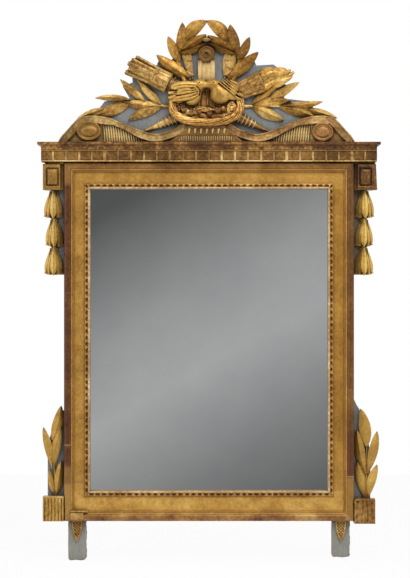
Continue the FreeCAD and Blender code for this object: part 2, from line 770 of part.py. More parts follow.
def lower_ear_board(side):
    """Painted board behind the laurel spray, cut to the leaves at its top."""
    outer = FRAME_HALF + EAR_WIDTH * 0.8
    low = lower_ear_foot(side)
    high = low + LOWER_BOARD_HEIGHT
    waist = low + LOWER_BLOCK_HEIGHT + LOWER_BOARD_HEIGHT * 0.4
    steps = (
        (side * FRAME_HALF, low),
        (side * outer, low),
        (side * outer, waist),
        via(side * (FRAME_HALF + EAR_WIDTH * 0.62), (waist + high) / 2),
        (side * (FRAME_HALF + EAR_WIDTH * 0.3), high),
        (side * FRAME_HALF, high),
    )
    return board(steps, EAR_BACK, EAR_FRONT)


def lower_ear_block(side):
    """Fluted block under the laurel spray."""
    ends = (side * FRAME_HALF, side * EAR_HALF)
    front = EAR_FRONT + LOWER_BLOCK_DEPTH
    low = lower_ear_foot(side)
    high = low + LOWER_BLOCK_HEIGHT
    block = slab(ends, (low, high), EAR_FRONT, front)
    pitch = EAR_WIDTH / LOWER_BLOCK_FLUTES
    margin = LOWER_BLOCK_FLUTE_RADIUS
    flutes = []
    for k in range(LOWER_BLOCK_FLUTES):
        x = min(ends) + (k + 0.5) * pitch
        start = Vector(x, -front, low + margin)
        flutes.append(rod(start, Vector(x, -front, high - margin), LOWER_BLOCK_FLUTE_RADIUS))
    return block.cut(flutes)


def laurel_spray(side, leaves, stem):
    """Laurel twig standing on the lower block."""
    foot_level = lower_ear_foot(side) + LOWER_BLOCK_HEIGHT

    def place(point):
        return (side * (FRAME_HALF + point[0]), foot_level + point[1])

    stem_ends = [on_face(EAR_FRONT)(*place(end)) for end in stem]
    twig = [rod(*stem_ends, STEM_RADIUS, STEM_RADIUS / 2)]
    twig += [leaf(place(base), place(tip), width, EAR_FRONT) for base, tip, width in leaves]
    frame_side = slab((0, side * FRAME_HALF), (0, FAR), 0, FAR)
    below = slab((-FAR, FAR), (0, foot_level), 0, FAR)
    return fitted(fused(twig), [frame_side, below, behind(EAR_FRONT)])


# Feet


def foot(side):
    """Stub board under the frame, tenoned into the half-lapped corner."""
    x = side * FOOT_CENTRE
    half = FOOT_WIDTH / 2
    sole = RIGHT_FOOT_WEAR if side == RIGHT else 0
    r = FOOT_CORNER_RADIUS
    k = r * (1 - math.sqrt(0.5))
    steps = (
        (x - half, FRAME_BOTTOM),
        (x - half, sole + r),
        via(x - half + k, sole + k),
        (x - half + r, sole),
        (x + half - r, sole),
        via(x + half - k, sole + k),
        (x + half, sole + r),
        (x + half, FRAME_BOTTOM),
    )
    stub = board(steps, FOOT_BACK, FOOT_FRONT)
    tenon_half = half - FOOT_TENON_MARGIN
    tenon = slab(
        (x - tenon_half, x + tenon_half),
        (FRAME_BOTTOM, FRAME_BOTTOM + FOOT_TENON_HEIGHT),
        FOOT_BACK + FOOT_TENON_MARGIN,
        FOOT_FRONT - FOOT_TENON_MARGIN,
    )
    return stub.fuse(tenon).removeSplitter()


def foot_drop(side):
    """Pointed gilt drop on the face of a foot."""
    x = side * FOOT_CENTRE
    half = FOOT_DROP_WIDTH / 2

    def triangle(inset, depth):
        slope = FOOT_DROP_HEIGHT / half
        corners = [
            Vector(x - half + inset, -depth, FRAME_BOTTOM - inset),
            Vector(x + half - inset, -depth, FRAME_BOTTOM - inset),
            Vector(x, -depth, FRAME_BOTTOM - FOOT_DROP_HEIGHT + inset * slope * 0.7),
        ]
        return Part.makePolygon(corners + corners[:1])

    rings = [
        triangle(0, FOOT_FRONT),
        triangle(0, FOOT_FRONT + FOOT_DROP_RISE * 0.5),
        triangle(FOOT_DROP_BEVEL, FOOT_FRONT + FOOT_DROP_RISE),
    ]
    return Part.makeLoft(rings, True, True)


# Crest


def crest(u, v):
    """A point of the crest in x and z."""
    return (CREST_SHIFT + u, CORNICE_TOP - CREST_FOOT + v)


def crest_point(u, v, depth):
    x, z = crest(u, v)
    return Vector(x, -depth, z)


def crest_steps(steps, side=RIGHT):
    """Outline of the crest moved to its place; the left side is its mirror image."""
    return [type(step)(crest(side * step[0], step[1])) for step in steps]


CREST_BOARD_RIGHT = (
    (262, CREST_FOOT), (262, 30), (218, 60), (204, 78), (154, 84), (168, 108), (148, 116),
    (150, 140), (134, 152), (100, 150), (94, 164), (72, 158), (62, 172), (58, 190), (40, 200), via(0, 208),
)
SCROLL_TOP = (
    (297, CREST_FOOT), via(279, 19), (257, 43), via(225, 48.5), (188, 42), (136, 21), via(108, 12.5),
    (79, 17), via(61, 24), (46, 36), (36, 28), via(52, 13), (74, CREST_FOOT),
)
SCROLL_UNDERSIDE = (
    (112, CREST_FOOT), via(143, 8), (165, 20), via(186, 29), (208, 31), (208, CREST_FOOT),
)
PEDESTAL_RIGHT = ((74, CREST_FOOT), via(52, 13), (36, 28))


def mirrored_outline(right_half):
    """Closed outline from its right half, listed upward, and the mirror image of what isn't on the middle."""
    left_half = [type(step)((-step[0], step[1])) for step in reversed(right_half) if step[0]]
    return crest_steps(list(right_half) + left_half)


def crest_board():
    """Fretted board that carries the carving, painted where it shows."""
    return board(mirrored_outline(CREST_BOARD_RIGHT), CREST_BACK, CREST_FRONT)


def crest_battens():
    """Two battens let into the back of the cornice and top rail, behind the crest board."""
    battens = []
    for side in SIDES.values():
        x = CREST_SHIFT + side * BATTEN_SPACING / 2
        ends = (x - BATTEN_WIDTH / 2, x + BATTEN_WIDTH / 2)
        levels = (FRAME_TOP - BATTEN_HOLD, CORNICE_TOP + BATTEN_RISE)
        battens.append(slab(ends, levels, 0, CREST_BACK))
    return battens


def scroll_band(side):
    """Wave scroll from the end of the crest down to the pedestal."""
    return board(crest_steps(SCROLL_TOP + SCROLL_UNDERSIDE, side), CREST_FRONT, SCROLL_FRONT)


def grooves(u_first, u_last, pitch, radius, front, levels):
    """Upright round cutters across a face of the crest."""
    count = round(abs(u_last - u_first) / pitch) + 1
    places = [u_first + (u_last - u_first) * k / (count - 1) for k in range(count)]
    return [rod(crest_point(u, levels[0], front), crest_point(u, levels[1], front), radius) for u in places]


def flute_panel(side):
    """Fluted panel in the hollow under a scroll."""
    front = CREST_FRONT + FLUTE_PANEL_DEPTH
    panel = board(crest_steps(SCROLL_UNDERSIDE, side), CREST_FRONT, front)
    first = side * (SCROLL_UNDERSIDE[0][0] + FLUTE_PITCH * 2)
    last = side * (SCROLL_UNDERSIDE[-1][0] - FLUTE_PITCH)
    return panel.cut(grooves(first, last, FLUTE_PITCH, FLUTE_RADIUS, front, (CREST_FOOT, SCROLL_TOP[2][1])))


def pedestal():
    """Stand under the nest, with a row of beads over a fluted foot."""
    front = CREST_FRONT + PEDESTAL_DEPTH
    body = board(mirrored_outline(PEDESTAL_RIGHT), CREST_FRONT, front)
    top = PEDESTAL_RIGHT[-1]
    span = top[0] - PEDESTAL_BEAD_RADIUS
    bead_level = top[1] * 0.7
    beads = [
        Part.makeSphere(
            PEDESTAL_BEAD_RADIUS,
            crest_point(-span + 2 * span * k / (PEDESTAL_BEADS - 1), bead_level, front),
        )
        for k in range(PEDESTAL_BEADS)
    ]
    pitch = 2 * span / (PEDESTAL_FLUTES - 1)
    cuts = grooves(-span, span, pitch, pitch * 0.36, front, (top[1] * 0.04, top[1] * 0.44))
    return fused([body.cut(cuts)] + beads)


def patera(side):
    """Turned boss in the eye of a scroll."""
    u, v = PATERA_CENTRE
    centre = crest_point(side * u, v, SCROLL_FRONT)
    r = PATERA_RADIUS
    rise = PATERA_RISE
    steps = (
        (0, 0), (r, 0), (r, rise * 0.4), via(r * 0.9, rise), (r * 0.8, rise * 0.5), (r * 0.7, rise * 0.35),
        via(r * 0.45, rise * 0.85), (r * 0.15, rise), (0, rise),
    )
    return turned(steps, centre)


def nest():
    """Nest like the front of a bowl, cut off by the board, with a thick rim and hollow on top."""
    high = NEST_BOTTOM + NEST_HEIGHT
    radius = (NEST_HALF_WIDTH ** 2 + NEST_PROJECTION ** 2) / (2 * NEST_PROJECTION)
    axis_depth = CREST_FRONT + NEST_PROJECTION - radius
    waist = radius - NEST_PROJECTION * 0.55
    floor = NEST_BOTTOM + NEST_HEIGHT * 0.55
    steps = (
        (0, NEST_BOTTOM),
        (waist, NEST_BOTTOM),
        via(radius - NEST_PROJECTION * 0.14, NEST_BOTTOM + NEST_HEIGHT * 0.34),
        (radius, high - NEST_RIM),
        via(radius - NEST_RIM / 2, high),
        (radius - NEST_RIM, high - NEST_RIM),
        (waist, floor),
        (0, floor),
    )
    section = Part.Face(closed_wire(steps, lambda across, up: Vector(across, 0, up)))
    bowl = section.revolve(Vector(0, 0, 0), Vector(0, 0, 1), 360)
    bowl.translate(crest_point(0, 0, axis_depth))
    return bowl.cut(behind(CREST_FRONT))


def left_dove():
    """Dove facing the middle of the crest, carved against the board: body, breast, neck, head, wing, tail."""
    middle = CREST_FRONT + DOVE_BODY_RADIUS - DOVE_SINK
    front = middle + DOVE_SINK
    wing_seat = middle + DOVE_BODY_RADIUS * 0.35
    breast = crest_point(*DOVE_BREAST, front)
    head = crest_point(*DOVE_HEAD, front)
    tail_base, tail_tip, tail_width = TAIL_LEAF
    parts = [
        spindle(crest_point(*DOVE_RUMP, middle), crest_point(*DOVE_BREAST_END, middle), DOVE_BODY_RADIUS),
        Part.makeSphere(DOVE_BODY_RADIUS * 0.9, breast),
        rod(breast, head, DOVE_BODY_RADIUS * 0.8, DOVE_HEAD_RADIUS * 0.9),
        Part.makeSphere(DOVE_HEAD_RADIUS, head),
        rod(head, crest_point(*DOVE_BEAK_TIP, front), DOVE_BEAK_RADIUS, DOVE_BEAK_TIP_RADIUS),
        leaf(crest(*tail_base), crest(*tail_tip), tail_width, CREST_FRONT, DOVE_TAIL_RISE),
    ]
    for base, tip, width in WING_LEAVES:
        parts.append(leaf(crest(*base), crest(*tip), width, wing_seat, DOVE_FEATHER_RISE, DOVE_FEATHER_EDGE))
    return fused(parts).cut(behind(CREST_FRONT))


def crest_mirror(piece):
    """The piece on the other side of the crest's middle."""
    return piece.mirror(Vector(CREST_SHIFT, 0, 0), Vector(1, 0, 0))


class Staff:
    """Line of the quiver or the torch on the crest board, from its head to the tip of its tail."""

    def __init__(self, ends):
        self.head, self.tip = [crest_point(*end, CREST_FRONT) for end in ends]
        self.length = (self.tip - self.head).Length
        self.direction = (self.tip - self.head).normalize()

    def at(self, distance):
        """Point on the line some distance from its head."""
        return self.head + self.direction * distance

    def tail(self):
        """Pointed lower end, ringed like a turned ferrule."""
        start = self.length - TAIL_LENGTH
        parts = [rod(self.at(start), self.tip, TAIL_RADIUS, TAIL_TIP_RADIUS)]
        pitch = TAIL_LENGTH / (TAIL_RINGS + 1)
        for k in range(TAIL_RINGS):
            reach = pitch * (k + 0.5)
            core = TAIL_RADIUS + (TAIL_TIP_RADIUS - TAIL_RADIUS) * reach / TAIL_LENGTH
            ring_start = self.at(start + reach)
            ring_end = self.at(start + reach + TAIL_RING_WIDTH)
            parts.append(rod(ring_start, ring_end, core + TAIL_RING_RISE))
        return parts


def quiver():
    """Quiver with its sheaf of arrows at the upper left, its ferrule at the lower right."""
    staff = Staff(QUIVER_ENDS)
    across = staff.direction.cross(Vector(0, -1, 0))
    collar_end = ARROW_LENGTH + COLLAR_LENGTH
    arrow_end = staff.at(ARROW_LENGTH + ARROW_HOLD)
    spread = COLLAR_RADIUS - ARROW_RADIUS
    parts = [
        rod(staff.at(ARROW_LENGTH), staff.at(collar_end), COLLAR_RADIUS),
        rod(staff.at(collar_end), staff.at(staff.length / 2), CASE_RADIUS),
        rod(staff.at(ARROW_STEP), arrow_end, spread),
    ]
    for k in range(ARROW_COUNT):
        turn = math.pi * (k + 0.5) / ARROW_COUNT
        offset = across * (spread * math.cos(turn)) + Vector(0, -spread * math.sin(turn), 0)
        arrow_start = staff.at(ARROW_STEP * (k % 3)) + offset * ARROW_FLARE
        parts.append(rod(arrow_start, arrow_end + offset, ARROW_RADIUS))
    return fused(parts + staff.tail()).cut(behind(CREST_FRONT))


def torch():
    """Torch with its flame at the upper right, its ferrule at the lower left."""
    staff = Staff(TORCH_ENDS)
    cup_end = FLAME_LENGTH + TORCH_CUP_LENGTH
    parts = [
        rod(staff.at(FLAME_LENGTH), staff.at(cup_end), COLLAR_RADIUS, CASE_RADIUS),
        rod(staff.at(cup_end), staff.at(staff.length / 2), CASE_RADIUS),
    ]
    root = staff.at(FLAME_LENGTH + FLAME_HOLD)
    for tip_u, tip_v, width in FLAME_TONGUES:
        tip = (staff.head.x + tip_u, staff.head.z + tip_v)
        parts.append(leaf((root.x, root.z), tip, width, CREST_FRONT, FLAME_RISE, FLAME_EDGE))
    return fused(parts + staff.tail()).cut(behind(CREST_FRONT))


def fluted_shaft():
    """Short fluted pillar behind the doves."""
    low, high = SHAFT_SPAN
    half = SHAFT_WIDTH / 2
    front = CREST_FRONT + SHAFT_DEPTH
    body = board(crest_steps([(-half, low), (half, low), (half, high), (-half, high)]), CREST_FRONT, front)
    pitch = SHAFT_WIDTH / SHAFT_FLUTES
    outermost = half - pitch / 2
    return body.cut(grooves(-outermost, outermost, pitch, SHAFT_FLUTE_RADIUS, front, (low, high)))


def shaft_roundel():
    """Turned roundel at the head of the pillar, dished round a central button."""
    r = ROUNDEL_RADIUS
    d = ROUNDEL_DEPTH
    steps = (
        (0, 0), (r, 0), (r, d * 0.8), via(r * 0.86, d), (r * 0.72, d * 0.82), (r * 0.42, d * 0.7),
        via(r * 0.32, d * 0.88), (r * 0.12, d * 0.94), (0, d * 0.94),
    )
    return turned(steps, crest_point(0, ROUNDEL_CENTRE_HEIGHT, CREST_FRONT))


def laurel_crown():
    """Crown of laurel leaves on a bent hoop."""
    hoop = [
        leaf(crest(*a), crest(*b), CROWN_HOOP_WIDTH, CREST_FRONT, LEAF_RISE * 0.8)
        for a, b in zip(CROWN_HOOP, CROWN_HOOP[1:])
    ]
    leaves = [
        leaf(crest(*base), crest(*tip), width, CREST_FRONT, CROWN_LEAF_RISE)
        for base, tip, width in CROWN_LEAVES
    ]
    return fused(leaves + hoop)


def ribbon_tails():
    """Two creased ribbon ends beside the pillar."""
    tails = [
        leaf(crest(*base), crest(*tip), width, CREST_FRONT, RIBBON_RISE)
        for base, tip, width in RIBBON_LEAVES
    ]
    return Part.makeCompound(tails)


def laurel_branch(leaves, stem):
    """Laurel branch lying along the foot of the crest."""
    start, end = stem
    twig = rod(crest_point(*start, CREST_FRONT), crest_point(*end, CREST_FRONT), STEM_RADIUS, STEM_RADIUS / 2)
    parts = [twig] + [leaf(crest(*base), crest(*tip), width, CREST_FRONT) for base, tip, width in leaves]
    return fused(parts).cut(behind(CREST_FRONT))


# Assembly


def frame_pieces():
    pegs = corner_pegs()
    feet = {f"{name}_foot": fitted(foot(side), pegs.Solids) for name, side in SIDES.items()}
    nails = backboard_nails()
    battens = crest_battens()
    screws = batten_screws()
    for side in SIDES.values():
        screws += hanger_screws(side)
    pockets = [hanger_pocket(side) for side in SIDES.values()]
    driven = list(feet.values()) + pegs.Solids + nails.Solids + battens + screws + pockets
    made = {
        "left_stile": stile(LEFT),
        "right_stile": stile(RIGHT),
        "bottom_rail": rail(FRAME_BOTTOM, SIGHT_BOTTOM, FRAME_BOTTOM, REBATE_BOTTOM),
        "top_rail": rail(SIGHT_TOP, FRAME_TOP, REBATE_TOP, FRAME_TOP),
        "dentil_course": dentil_course(),
        "cornice": cornice(),
    }
    made = {name: fitted(piece, driven) for name, piece in made.items()}
    made.update(feet)
    made["corner_pegs"] = pegs
    made["backboard_nails"] = nails
    made["crest_battens"] = Part.makeCompound([fitted(batten, screws) for batten in battens])
    made["iron_screws"] = slotted(screws)
    made["mirror_glass"] = mirror_glass()
    for index, name in enumerate(("bottom", "middle", "top")):
        made[f"{name}_backboard"] = backboard(index)
    for name in ("left", "right", "top", "bottom"):
        made[f"{name}_outer_moulding"] = outer_moulding(name)
        made[f"{name}_sight_moulding"] = sight_moulding(name)
    made["foot_drops"] = Part.makeCompound([foot_drop(side) for side in SIDES.values()])
    for name, side in SIDES.items():
        made[f"{name}_hanger_plate"] = hanger_plate(side)
        made[f"{name}_hanging_ring"] = hanging_ring(side)
    return made


def ear_pieces():
    made = {}
    sprays = {
        "left": (LEFT_SPRAY_LEAVES, SPRAY_STEMS[0]),
        "right": (RIGHT_SPRAY_LEAVES, SPRAY_STEMS[1]),
    }
    for name, side in SIDES.items():
        made[f"{name}_upper_ear_board"] = upper_ear_board(side)
        made[f"{name}_upper_ear_block"] = upper_ear_block(side)
        made[f"{name}_husk_drop"] = husk_drop(side)
        made[f"{name}_lower_ear_board"] = lower_ear_board(side)
        made[f"{name}_lower_ear_block"] = lower_ear_block(side)
        made[f"{name}_laurel_spray"] = laurel_spray(side, *sprays[name])
    return made


def crest_pieces():
    """The crest, from its foremost carving back: each piece is cut to those in front of it."""
    dove = left_dove()
    carvings = {
        "pedestal": pedestal(),
        "left_scroll_band": scroll_band(LEFT),
        "right_scroll_band": scroll_band(RIGHT),
        "left_dove": dove,
        "right_dove": crest_mirror(dove),
        "nest": nest(),
        "quiver": quiver(),
        "torch": torch(),
        "shaft_roundel": shaft_roundel(),
        "fluted_shaft": fluted_shaft(),
        "laurel_crown": laurel_crown(),
        "ribbon_tails": ribbon_tails(),
        "left_laurel_branch": laurel_branch(LEFT_BRANCH_LEAVES, BRANCH_STEMS[0]),
        "right_laurel_branch": laurel_branch(RIGHT_BRANCH_LEAVES, BRANCH_STEMS[1]),
    }
    made = {}
    for name, piece in carvings.items():
        made[name] = fitted(piece, list(made.values()))
    for name, side in SIDES.items():
        made[f"{name}_flute_panel"] = flute_panel(side)
        made[f"{name}_patera"] = patera(side)
    made["crest_board"] = fitted(crest_board(), batten_screws())
    return made


def main():
    os.makedirs("parts", exist_ok=True)
    pieces = {**frame_pieces(), **ear_pieces(), **crest_pieces()}
    for name, shape in pieces.items():
        shape = shape.copy()
        shape.translate(Vector(0, 0, -ORIGIN_LEVEL))
        shape.exportStep(f"parts/{name}.step")
        state = "valid" if shape.isValid() else "NOT VALID"
        print(f"{name}: {len(shape.Solids)} solids, {shape.Volume / 1000:.2f} cm3, {state}")


main()
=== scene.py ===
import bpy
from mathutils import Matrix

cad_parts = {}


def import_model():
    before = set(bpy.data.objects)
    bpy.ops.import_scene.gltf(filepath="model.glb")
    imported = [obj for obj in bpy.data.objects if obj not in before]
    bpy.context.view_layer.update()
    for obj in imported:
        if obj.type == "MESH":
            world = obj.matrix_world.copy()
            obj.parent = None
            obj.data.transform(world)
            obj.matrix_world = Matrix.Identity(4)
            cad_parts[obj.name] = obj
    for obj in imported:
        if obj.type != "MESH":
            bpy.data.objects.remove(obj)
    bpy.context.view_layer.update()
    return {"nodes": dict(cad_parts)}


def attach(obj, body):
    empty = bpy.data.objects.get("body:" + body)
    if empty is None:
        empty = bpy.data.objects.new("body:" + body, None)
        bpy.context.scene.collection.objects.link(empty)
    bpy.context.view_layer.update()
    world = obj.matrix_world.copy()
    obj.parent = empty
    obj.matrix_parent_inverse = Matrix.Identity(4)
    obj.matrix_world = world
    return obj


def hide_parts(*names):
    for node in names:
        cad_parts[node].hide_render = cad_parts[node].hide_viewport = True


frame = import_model()

import math

import bmesh
import bpy
import numpy as np
import openvdb
from mathutils import Vector, noise

# Giltwood wall mirror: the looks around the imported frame.
#
# Shapes are worked out in millimetres: x to the viewer's right, d forward from the wall and z up from the
# soles of the feet. The crest has its own u, across from its middle, and v, up from the top of the cornice.

MM = 0.001
ORIGIN_LEVEL = 775.0
CORNICE_TOP = 842.0
CREST_SHIFT = -5.0
CREST_FRONT = 22.0
FRAME_HALF = 290.0
FRAME_BOTTOM = 80.0
FRAME_TOP = 798.0
SIGHT_HALF = 238.0
SIGHT_BOTTOM = 140.0
SIGHT_TOP = 744.0
CARCASS_DEPTH = 26.0
EAR_FRONT = 16.0
EAR_CENTRE = 311.0
SIDES = {"left": -1, "right": 1}

# Camera: the height and middle of its field at the face of the frame in metres, and a long lens in mm
FIELD_HEIGHT = 1.156
VIEW_CENTRE = (-0.008, -0.231)
FACE_DEPTH = 0.03
LENS = 135.0
SENSOR = 36.0


# Colours and shader nodes


def srgb(red, green, blue):
    """Colour as it looks on a screen, 0 to 255, in the linear values that shaders take."""
    def linear(value):
        share = value / 255
        return share / 12.92 if share <= 0.04045 else ((share + 0.055) / 1.055) ** 2.4

    return (linear(red), linear(green), linear(blue), 1.0)


class Tree:
    """Nodes of a material or a world, with short names for the ones that are used."""

    def __init__(self, owner, output="ShaderNodeOutputMaterial"):
        owner.use_nodes = True
        self.tree = owner.node_tree
        self.tree.nodes.clear()
        self.out = self.node(output)

    def node(self, kind, **settings):
        made = self.tree.nodes.new(kind)
        for name, value in settings.items():
            setattr(made, name, value)
        return made

    def link(self, source, target):
        self.tree.links.new(source, target)

    def put(self, socket, value):
        """Sets a socket to a constant, or links it to another node's output."""
        if isinstance(value, bpy.types.NodeSocket):
            self.link(value, socket)
        else:
            socket.default_value = value

    def math(self, operation, *values, clamp=False):
        made = self.node("ShaderNodeMath", operation=operation, use_clamp=clamp)
        for socket, value in zip(made.inputs, values):
            self.put(socket, value)
        return made.outputs[0]

    def weighted(self, *terms):
        """Sum of values, each times its weight."""
        total = None
        for value, weight in terms:
            term = self.math("MULTIPLY", value, weight)
            total = term if total is None else self.math("ADD", total, term)
        return total

    def spread(self, value, low, high, start=0.0, end=1.0, way="SMOOTHSTEP"):
        """Value stretched from between low and high to between start and end."""
        made = self.node("ShaderNodeMapRange", interpolation_type=way)
        for socket, number in zip(made.inputs, (value, low, high, start, end)):
            self.put(socket, number)
        return made.outputs[0]

    def ramp(self, value, stops):
        made = self.node("ShaderNodeValToRGB")
        self.link(value, made.inputs[0])
        elements = made.color_ramp.elements
        while len(elements) < len(stops):
            elements.new(0.5)
        for element, (position, colour) in zip(elements, stops):
            element.position = position
            element.color = colour
        return made.outputs[0]

    def light(self, kind, colour, strength):
        """Surface or background that gives light of its own."""
        made = self.node(kind)
        self.put(made.inputs["Color"], colour)
        self.put(made.inputs["Strength"], strength)
        return made.outputs[0]

    def seen_directly(self):
        """1 for what the camera, a reflection or clear glass sees, 0 for the light that falls on things."""
        path = self.node("ShaderNodeLightPath").outputs
        reflected = self.math("MAXIMUM", path["Is Camera Ray"], path["Is Glossy Ray"])
        return self.math("MAXIMUM", reflected, path["Is Transmission Ray"])

    def show(self, share, first, second):
        """Ends the tree with a share of the second shader over the first."""
        made = self.node("ShaderNodeMixShader")
        for socket, value in zip(made.inputs, (share, first, second)):
            self.link(value, socket)
        self.link(made.outputs[0], self.out.inputs[0])


class Shader(Tree):
    """Material of the mirror under construction."""

    def __init__(self, name):
        self.material = bpy.data.materials.new(name)
        super().__init__(self.material)
        self.surface = self.node("ShaderNodeBsdfPrincipled")
        self.link(self.surface.outputs[0], self.out.inputs[0])
        self.place = self.node("ShaderNodeTexCoord").outputs["Object"]
        self.geometry = self.node("ShaderNodeNewGeometry")

    def stretched(self, factors):
        """Object coordinates scaled by a factor on each axis."""
        made = self.node("ShaderNodeMapping")
        self.link(self.place, made.inputs["Vector"])
        made.inputs["Scale"].default_value = factors
        return made.outputs[0]

    def noise(self, scale, detail=3.0, rough=0.55, place=None, distortion=0.0):
        made = self.node("ShaderNodeTexNoise")
        self.link(place or self.place, made.inputs["Vector"])
        names = ("Scale", "Detail", "Roughness", "Distortion")
        for name, value in zip(names, (scale, detail, rough, distortion)):
            made.inputs[name].default_value = value
        return made.outputs[0]

    def mix(self, share, first, second):
        made = self.node("ShaderNodeMix", data_type="RGBA")
        for socket, value in ((0, share), (6, first), (7, second)):
            self.put(made.inputs[socket], value)
        return made.outputs[2]

    def axis(self, name, source=None):
        made = self.node("ShaderNodeSeparateXYZ")
        self.link(source or self.place, made.inputs[0])
        return made.outputs[name]

    def behind(self):
        """1 on the faces that look at the wall."""
        return self.spread(self.axis("Y", self.geometry.outputs["True Normal"]), 0.4, 0.6)

    def hollow(self, distance):
        """How much of the sky round a point is hidden within a distance: 0 in the open, 1 in a cleft."""
        made = self.node("ShaderNodeAmbientOcclusion", samples=SHADE_SAMPLES)
        made.inputs["Distance"].default_value = distance
        return self.math("SUBTRACT", 1.0, made.outputs["AO"])

    def edge(self, radius, hollow):
        """How sharply the surface turns within a radius, in the open."""
        soft = self.node("ShaderNodeBevel", samples=SHADE_SAMPLES)
        soft.inputs["Radius"].default_value = radius
        dot = self.node("ShaderNodeVectorMath", operation="DOT_PRODUCT")
        self.link(soft.outputs[0], dot.inputs[0])
        self.link(self.geometry.outputs["Normal"], dot.inputs[1])
        turn = self.math("SUBTRACT", 1.0, dot.outputs["Value"], clamp=True)
        return self.math("MULTIPLY", turn, self.math("SUBTRACT", 1.0, hollow))

    def bump(self, height, strength, distance):
        made = self.node("ShaderNodeBump")
        made.inputs["Strength"].default_value = strength
        made.inputs["Distance"].default_value = distance
        self.link(height, made.inputs["Height"])
        self.link(made.outputs[0], self.surface.inputs["Normal"])

    def finish(self, colour, rough, metal=0.0):
        for name, value in (("Base Color", colour), ("Roughness", rough), ("Metallic", metal)):
            self.put(self.surface.inputs[name], value)
        return self.material


# Materials

SHADE_SAMPLES = 6
BOLE = srgb(104, 52, 32)
BOLE_DARK = srgb(66, 36, 24)
GESSO = srgb(232, 210, 166)
# Dark brown of grime and painted shade in the hollows of gilding, also used for a lap line
GRIME_AND_SHADE = srgb(44, 28, 17)
PINE = srgb(176, 138, 92)
PINE_DARK = srgb(128, 94, 58)
PAINT_CHIP = srgb(120, 104, 84)
PAINT_GRIME_AND_SHADE = srgb(38, 36, 34)
WOOD_GRIME_AND_SHADE = srgb(40, 28, 18)
WOOD_STAIN = srgb(92, 70, 48)
# Scales of the wood's grain on the three axes, by the axis that it runs along
GRAIN = {"x": (3, 60, 60), "z": (60, 60, 3)}
# Where the dark, middle and light tone of a gilding lie in its noise, for soft and for crisp patches
SOFT = (0.33, 0.5, 0.68)
CRISP = (0.39, 0.5, 0.6)


def wood(shader, light, dark, along):
    """Sawn wood: grain lines along one axis, with a darker figure. Gives its colour and its height."""
    place = shader.stretched(GRAIN[along])
    figure = shader.noise(1.6, 4.0, 0.6, place, 0.6)
    lines = shader.noise(7.0, 3.0, 0.7, place)
    blend = shader.weighted((figure, 0.6), (lines, 0.4))
    return shader.ramp(blend, ((0.34, dark), (0.62, light))), blend


def zoned(shader, colour, zones, ragged, speck):
    """Colour with bands across it, each from one height to another.

    Each zone gives its two heights in mm, its colour, how far its ends fade and its strength.
    """
    for low, high, shade, fade, strength in zones:
        bottom, top, soft = (low - ORIGIN_LEVEL) * MM, (high - ORIGIN_LEVEL) * MM, fade * MM
        waver = shader.math("MULTIPLY", shader.math("SUBTRACT", ragged, 0.5), soft * 3)
        height = shader.math("ADD", shader.axis("Z"), waver)
        above = shader.spread(height, bottom - soft, bottom + soft)
        below = shader.spread(height, top - soft, top + soft, 1.0, 0.0)
        cover = shader.spread(speck, 0.25, 0.55, strength * 0.6, strength)
        cover = shader.math("MULTIPLY", shader.math("MULTIPLY", above, below), cover)
        colour = shader.mix(cover, colour, shade)
    return colour


def gilding(name, tones, wear=0.5, edge_wear_and_highlight=0.4, hollow_grime_and_shade=0.8, metal=0.45, back=None, zones=(), steps=SOFT):
    """Burnished gold leaf over bole and gesso, worn on its edges to the pale ground, which also serves as a
    painted highlight, and darkened in its hollows by grime and painted shade.

    wear is how far the leaf has gone from the open faces, rubbed how much of the pale ground shows on the
    edges as wear and painted highlight, dirt how dark the hollows are painted for grime and painted shade,
    and metal how much the leaf shines. Where back is given, the faces that look at the wall are unfinished
    wood of that grain.
    """
    shader = Shader(name)
    blotch = shader.noise(16.0, 5.0, 0.6)
    speck = shader.noise(170.0, 4.0, 0.65)
    fine = shader.noise(620.0, 2.0)
    patch = shader.noise(42.0, 6.0, 0.7)
    colour = shader.ramp(shader.weighted((blotch, 0.62), (speck, 0.38)), tuple(zip(steps, tones)))
    hollow = shader.hollow(0.014)
    edge = shader.edge(0.0022, hollow)
    rubbing = shader.math("ADD", patch, shader.math("MULTIPLY", edge, 1.3))
    worn = shader.spread(rubbing, 0.86 - wear * 0.36, 1.0 - wear * 0.3)
    colour = shader.mix(worn, colour, shader.ramp(speck, ((0.4, BOLE_DARK), (0.6, BOLE))))
    colour = zoned(shader, colour, zones, patch, speck)
    # Pale ground on the edges: worn gilding, and also a painted highlight along the edges
    edge_wear_and_highlight_mask = shader.math("ADD", edge, shader.math("MULTIPLY", speck, 0.5))
    edge_wear_and_highlight_share = shader.spread(edge_wear_and_highlight_mask, 0.55 - edge_wear_and_highlight * 0.25, 0.8 - edge_wear_and_highlight * 0.25)
    colour = shader.mix(shader.math("MULTIPLY", edge_wear_and_highlight_share, edge_wear_and_highlight, clamp=True), colour, GESSO)
    # Hollows and joints between pieces, found by occlusion, are darkened: grime and painted shade
    grime_and_shade_mask = shader.math("ADD", hollow, shader.math("MULTIPLY", speck, 0.25))
    colour = shader.mix(shader.spread(grime_and_shade_mask, 0.24, 0.85, 0.0, hollow_grime_and_shade), colour, GRIME_AND_SHADE)
    shine = shader.math("MULTIPLY", shader.math("SUBTRACT", 1.0, worn), metal, clamp=True)
    rough = shader.math("ADD", shader.weighted((speck, 0.3), (worn, 0.2)), 0.26)
    if back:
        behind = shader.behind()
        timber, _ = wood(shader, PINE, PINE_DARK, back)
        colour = shader.mix(behind, colour, timber)
        shine = shader.math("MULTIPLY", shine, shader.math("SUBTRACT", 1.0, behind))
        rough = shader.math("MAXIMUM", rough, shader.math("MULTIPLY", behind, 0.75))
    shader.bump(shader.weighted((patch, 0.7), (fine, 0.3)), 0.35, 0.0009)
    shader.surface.inputs["Specular IOR Level"].default_value = 0.3
    return shader.finish(colour, rough, shine)


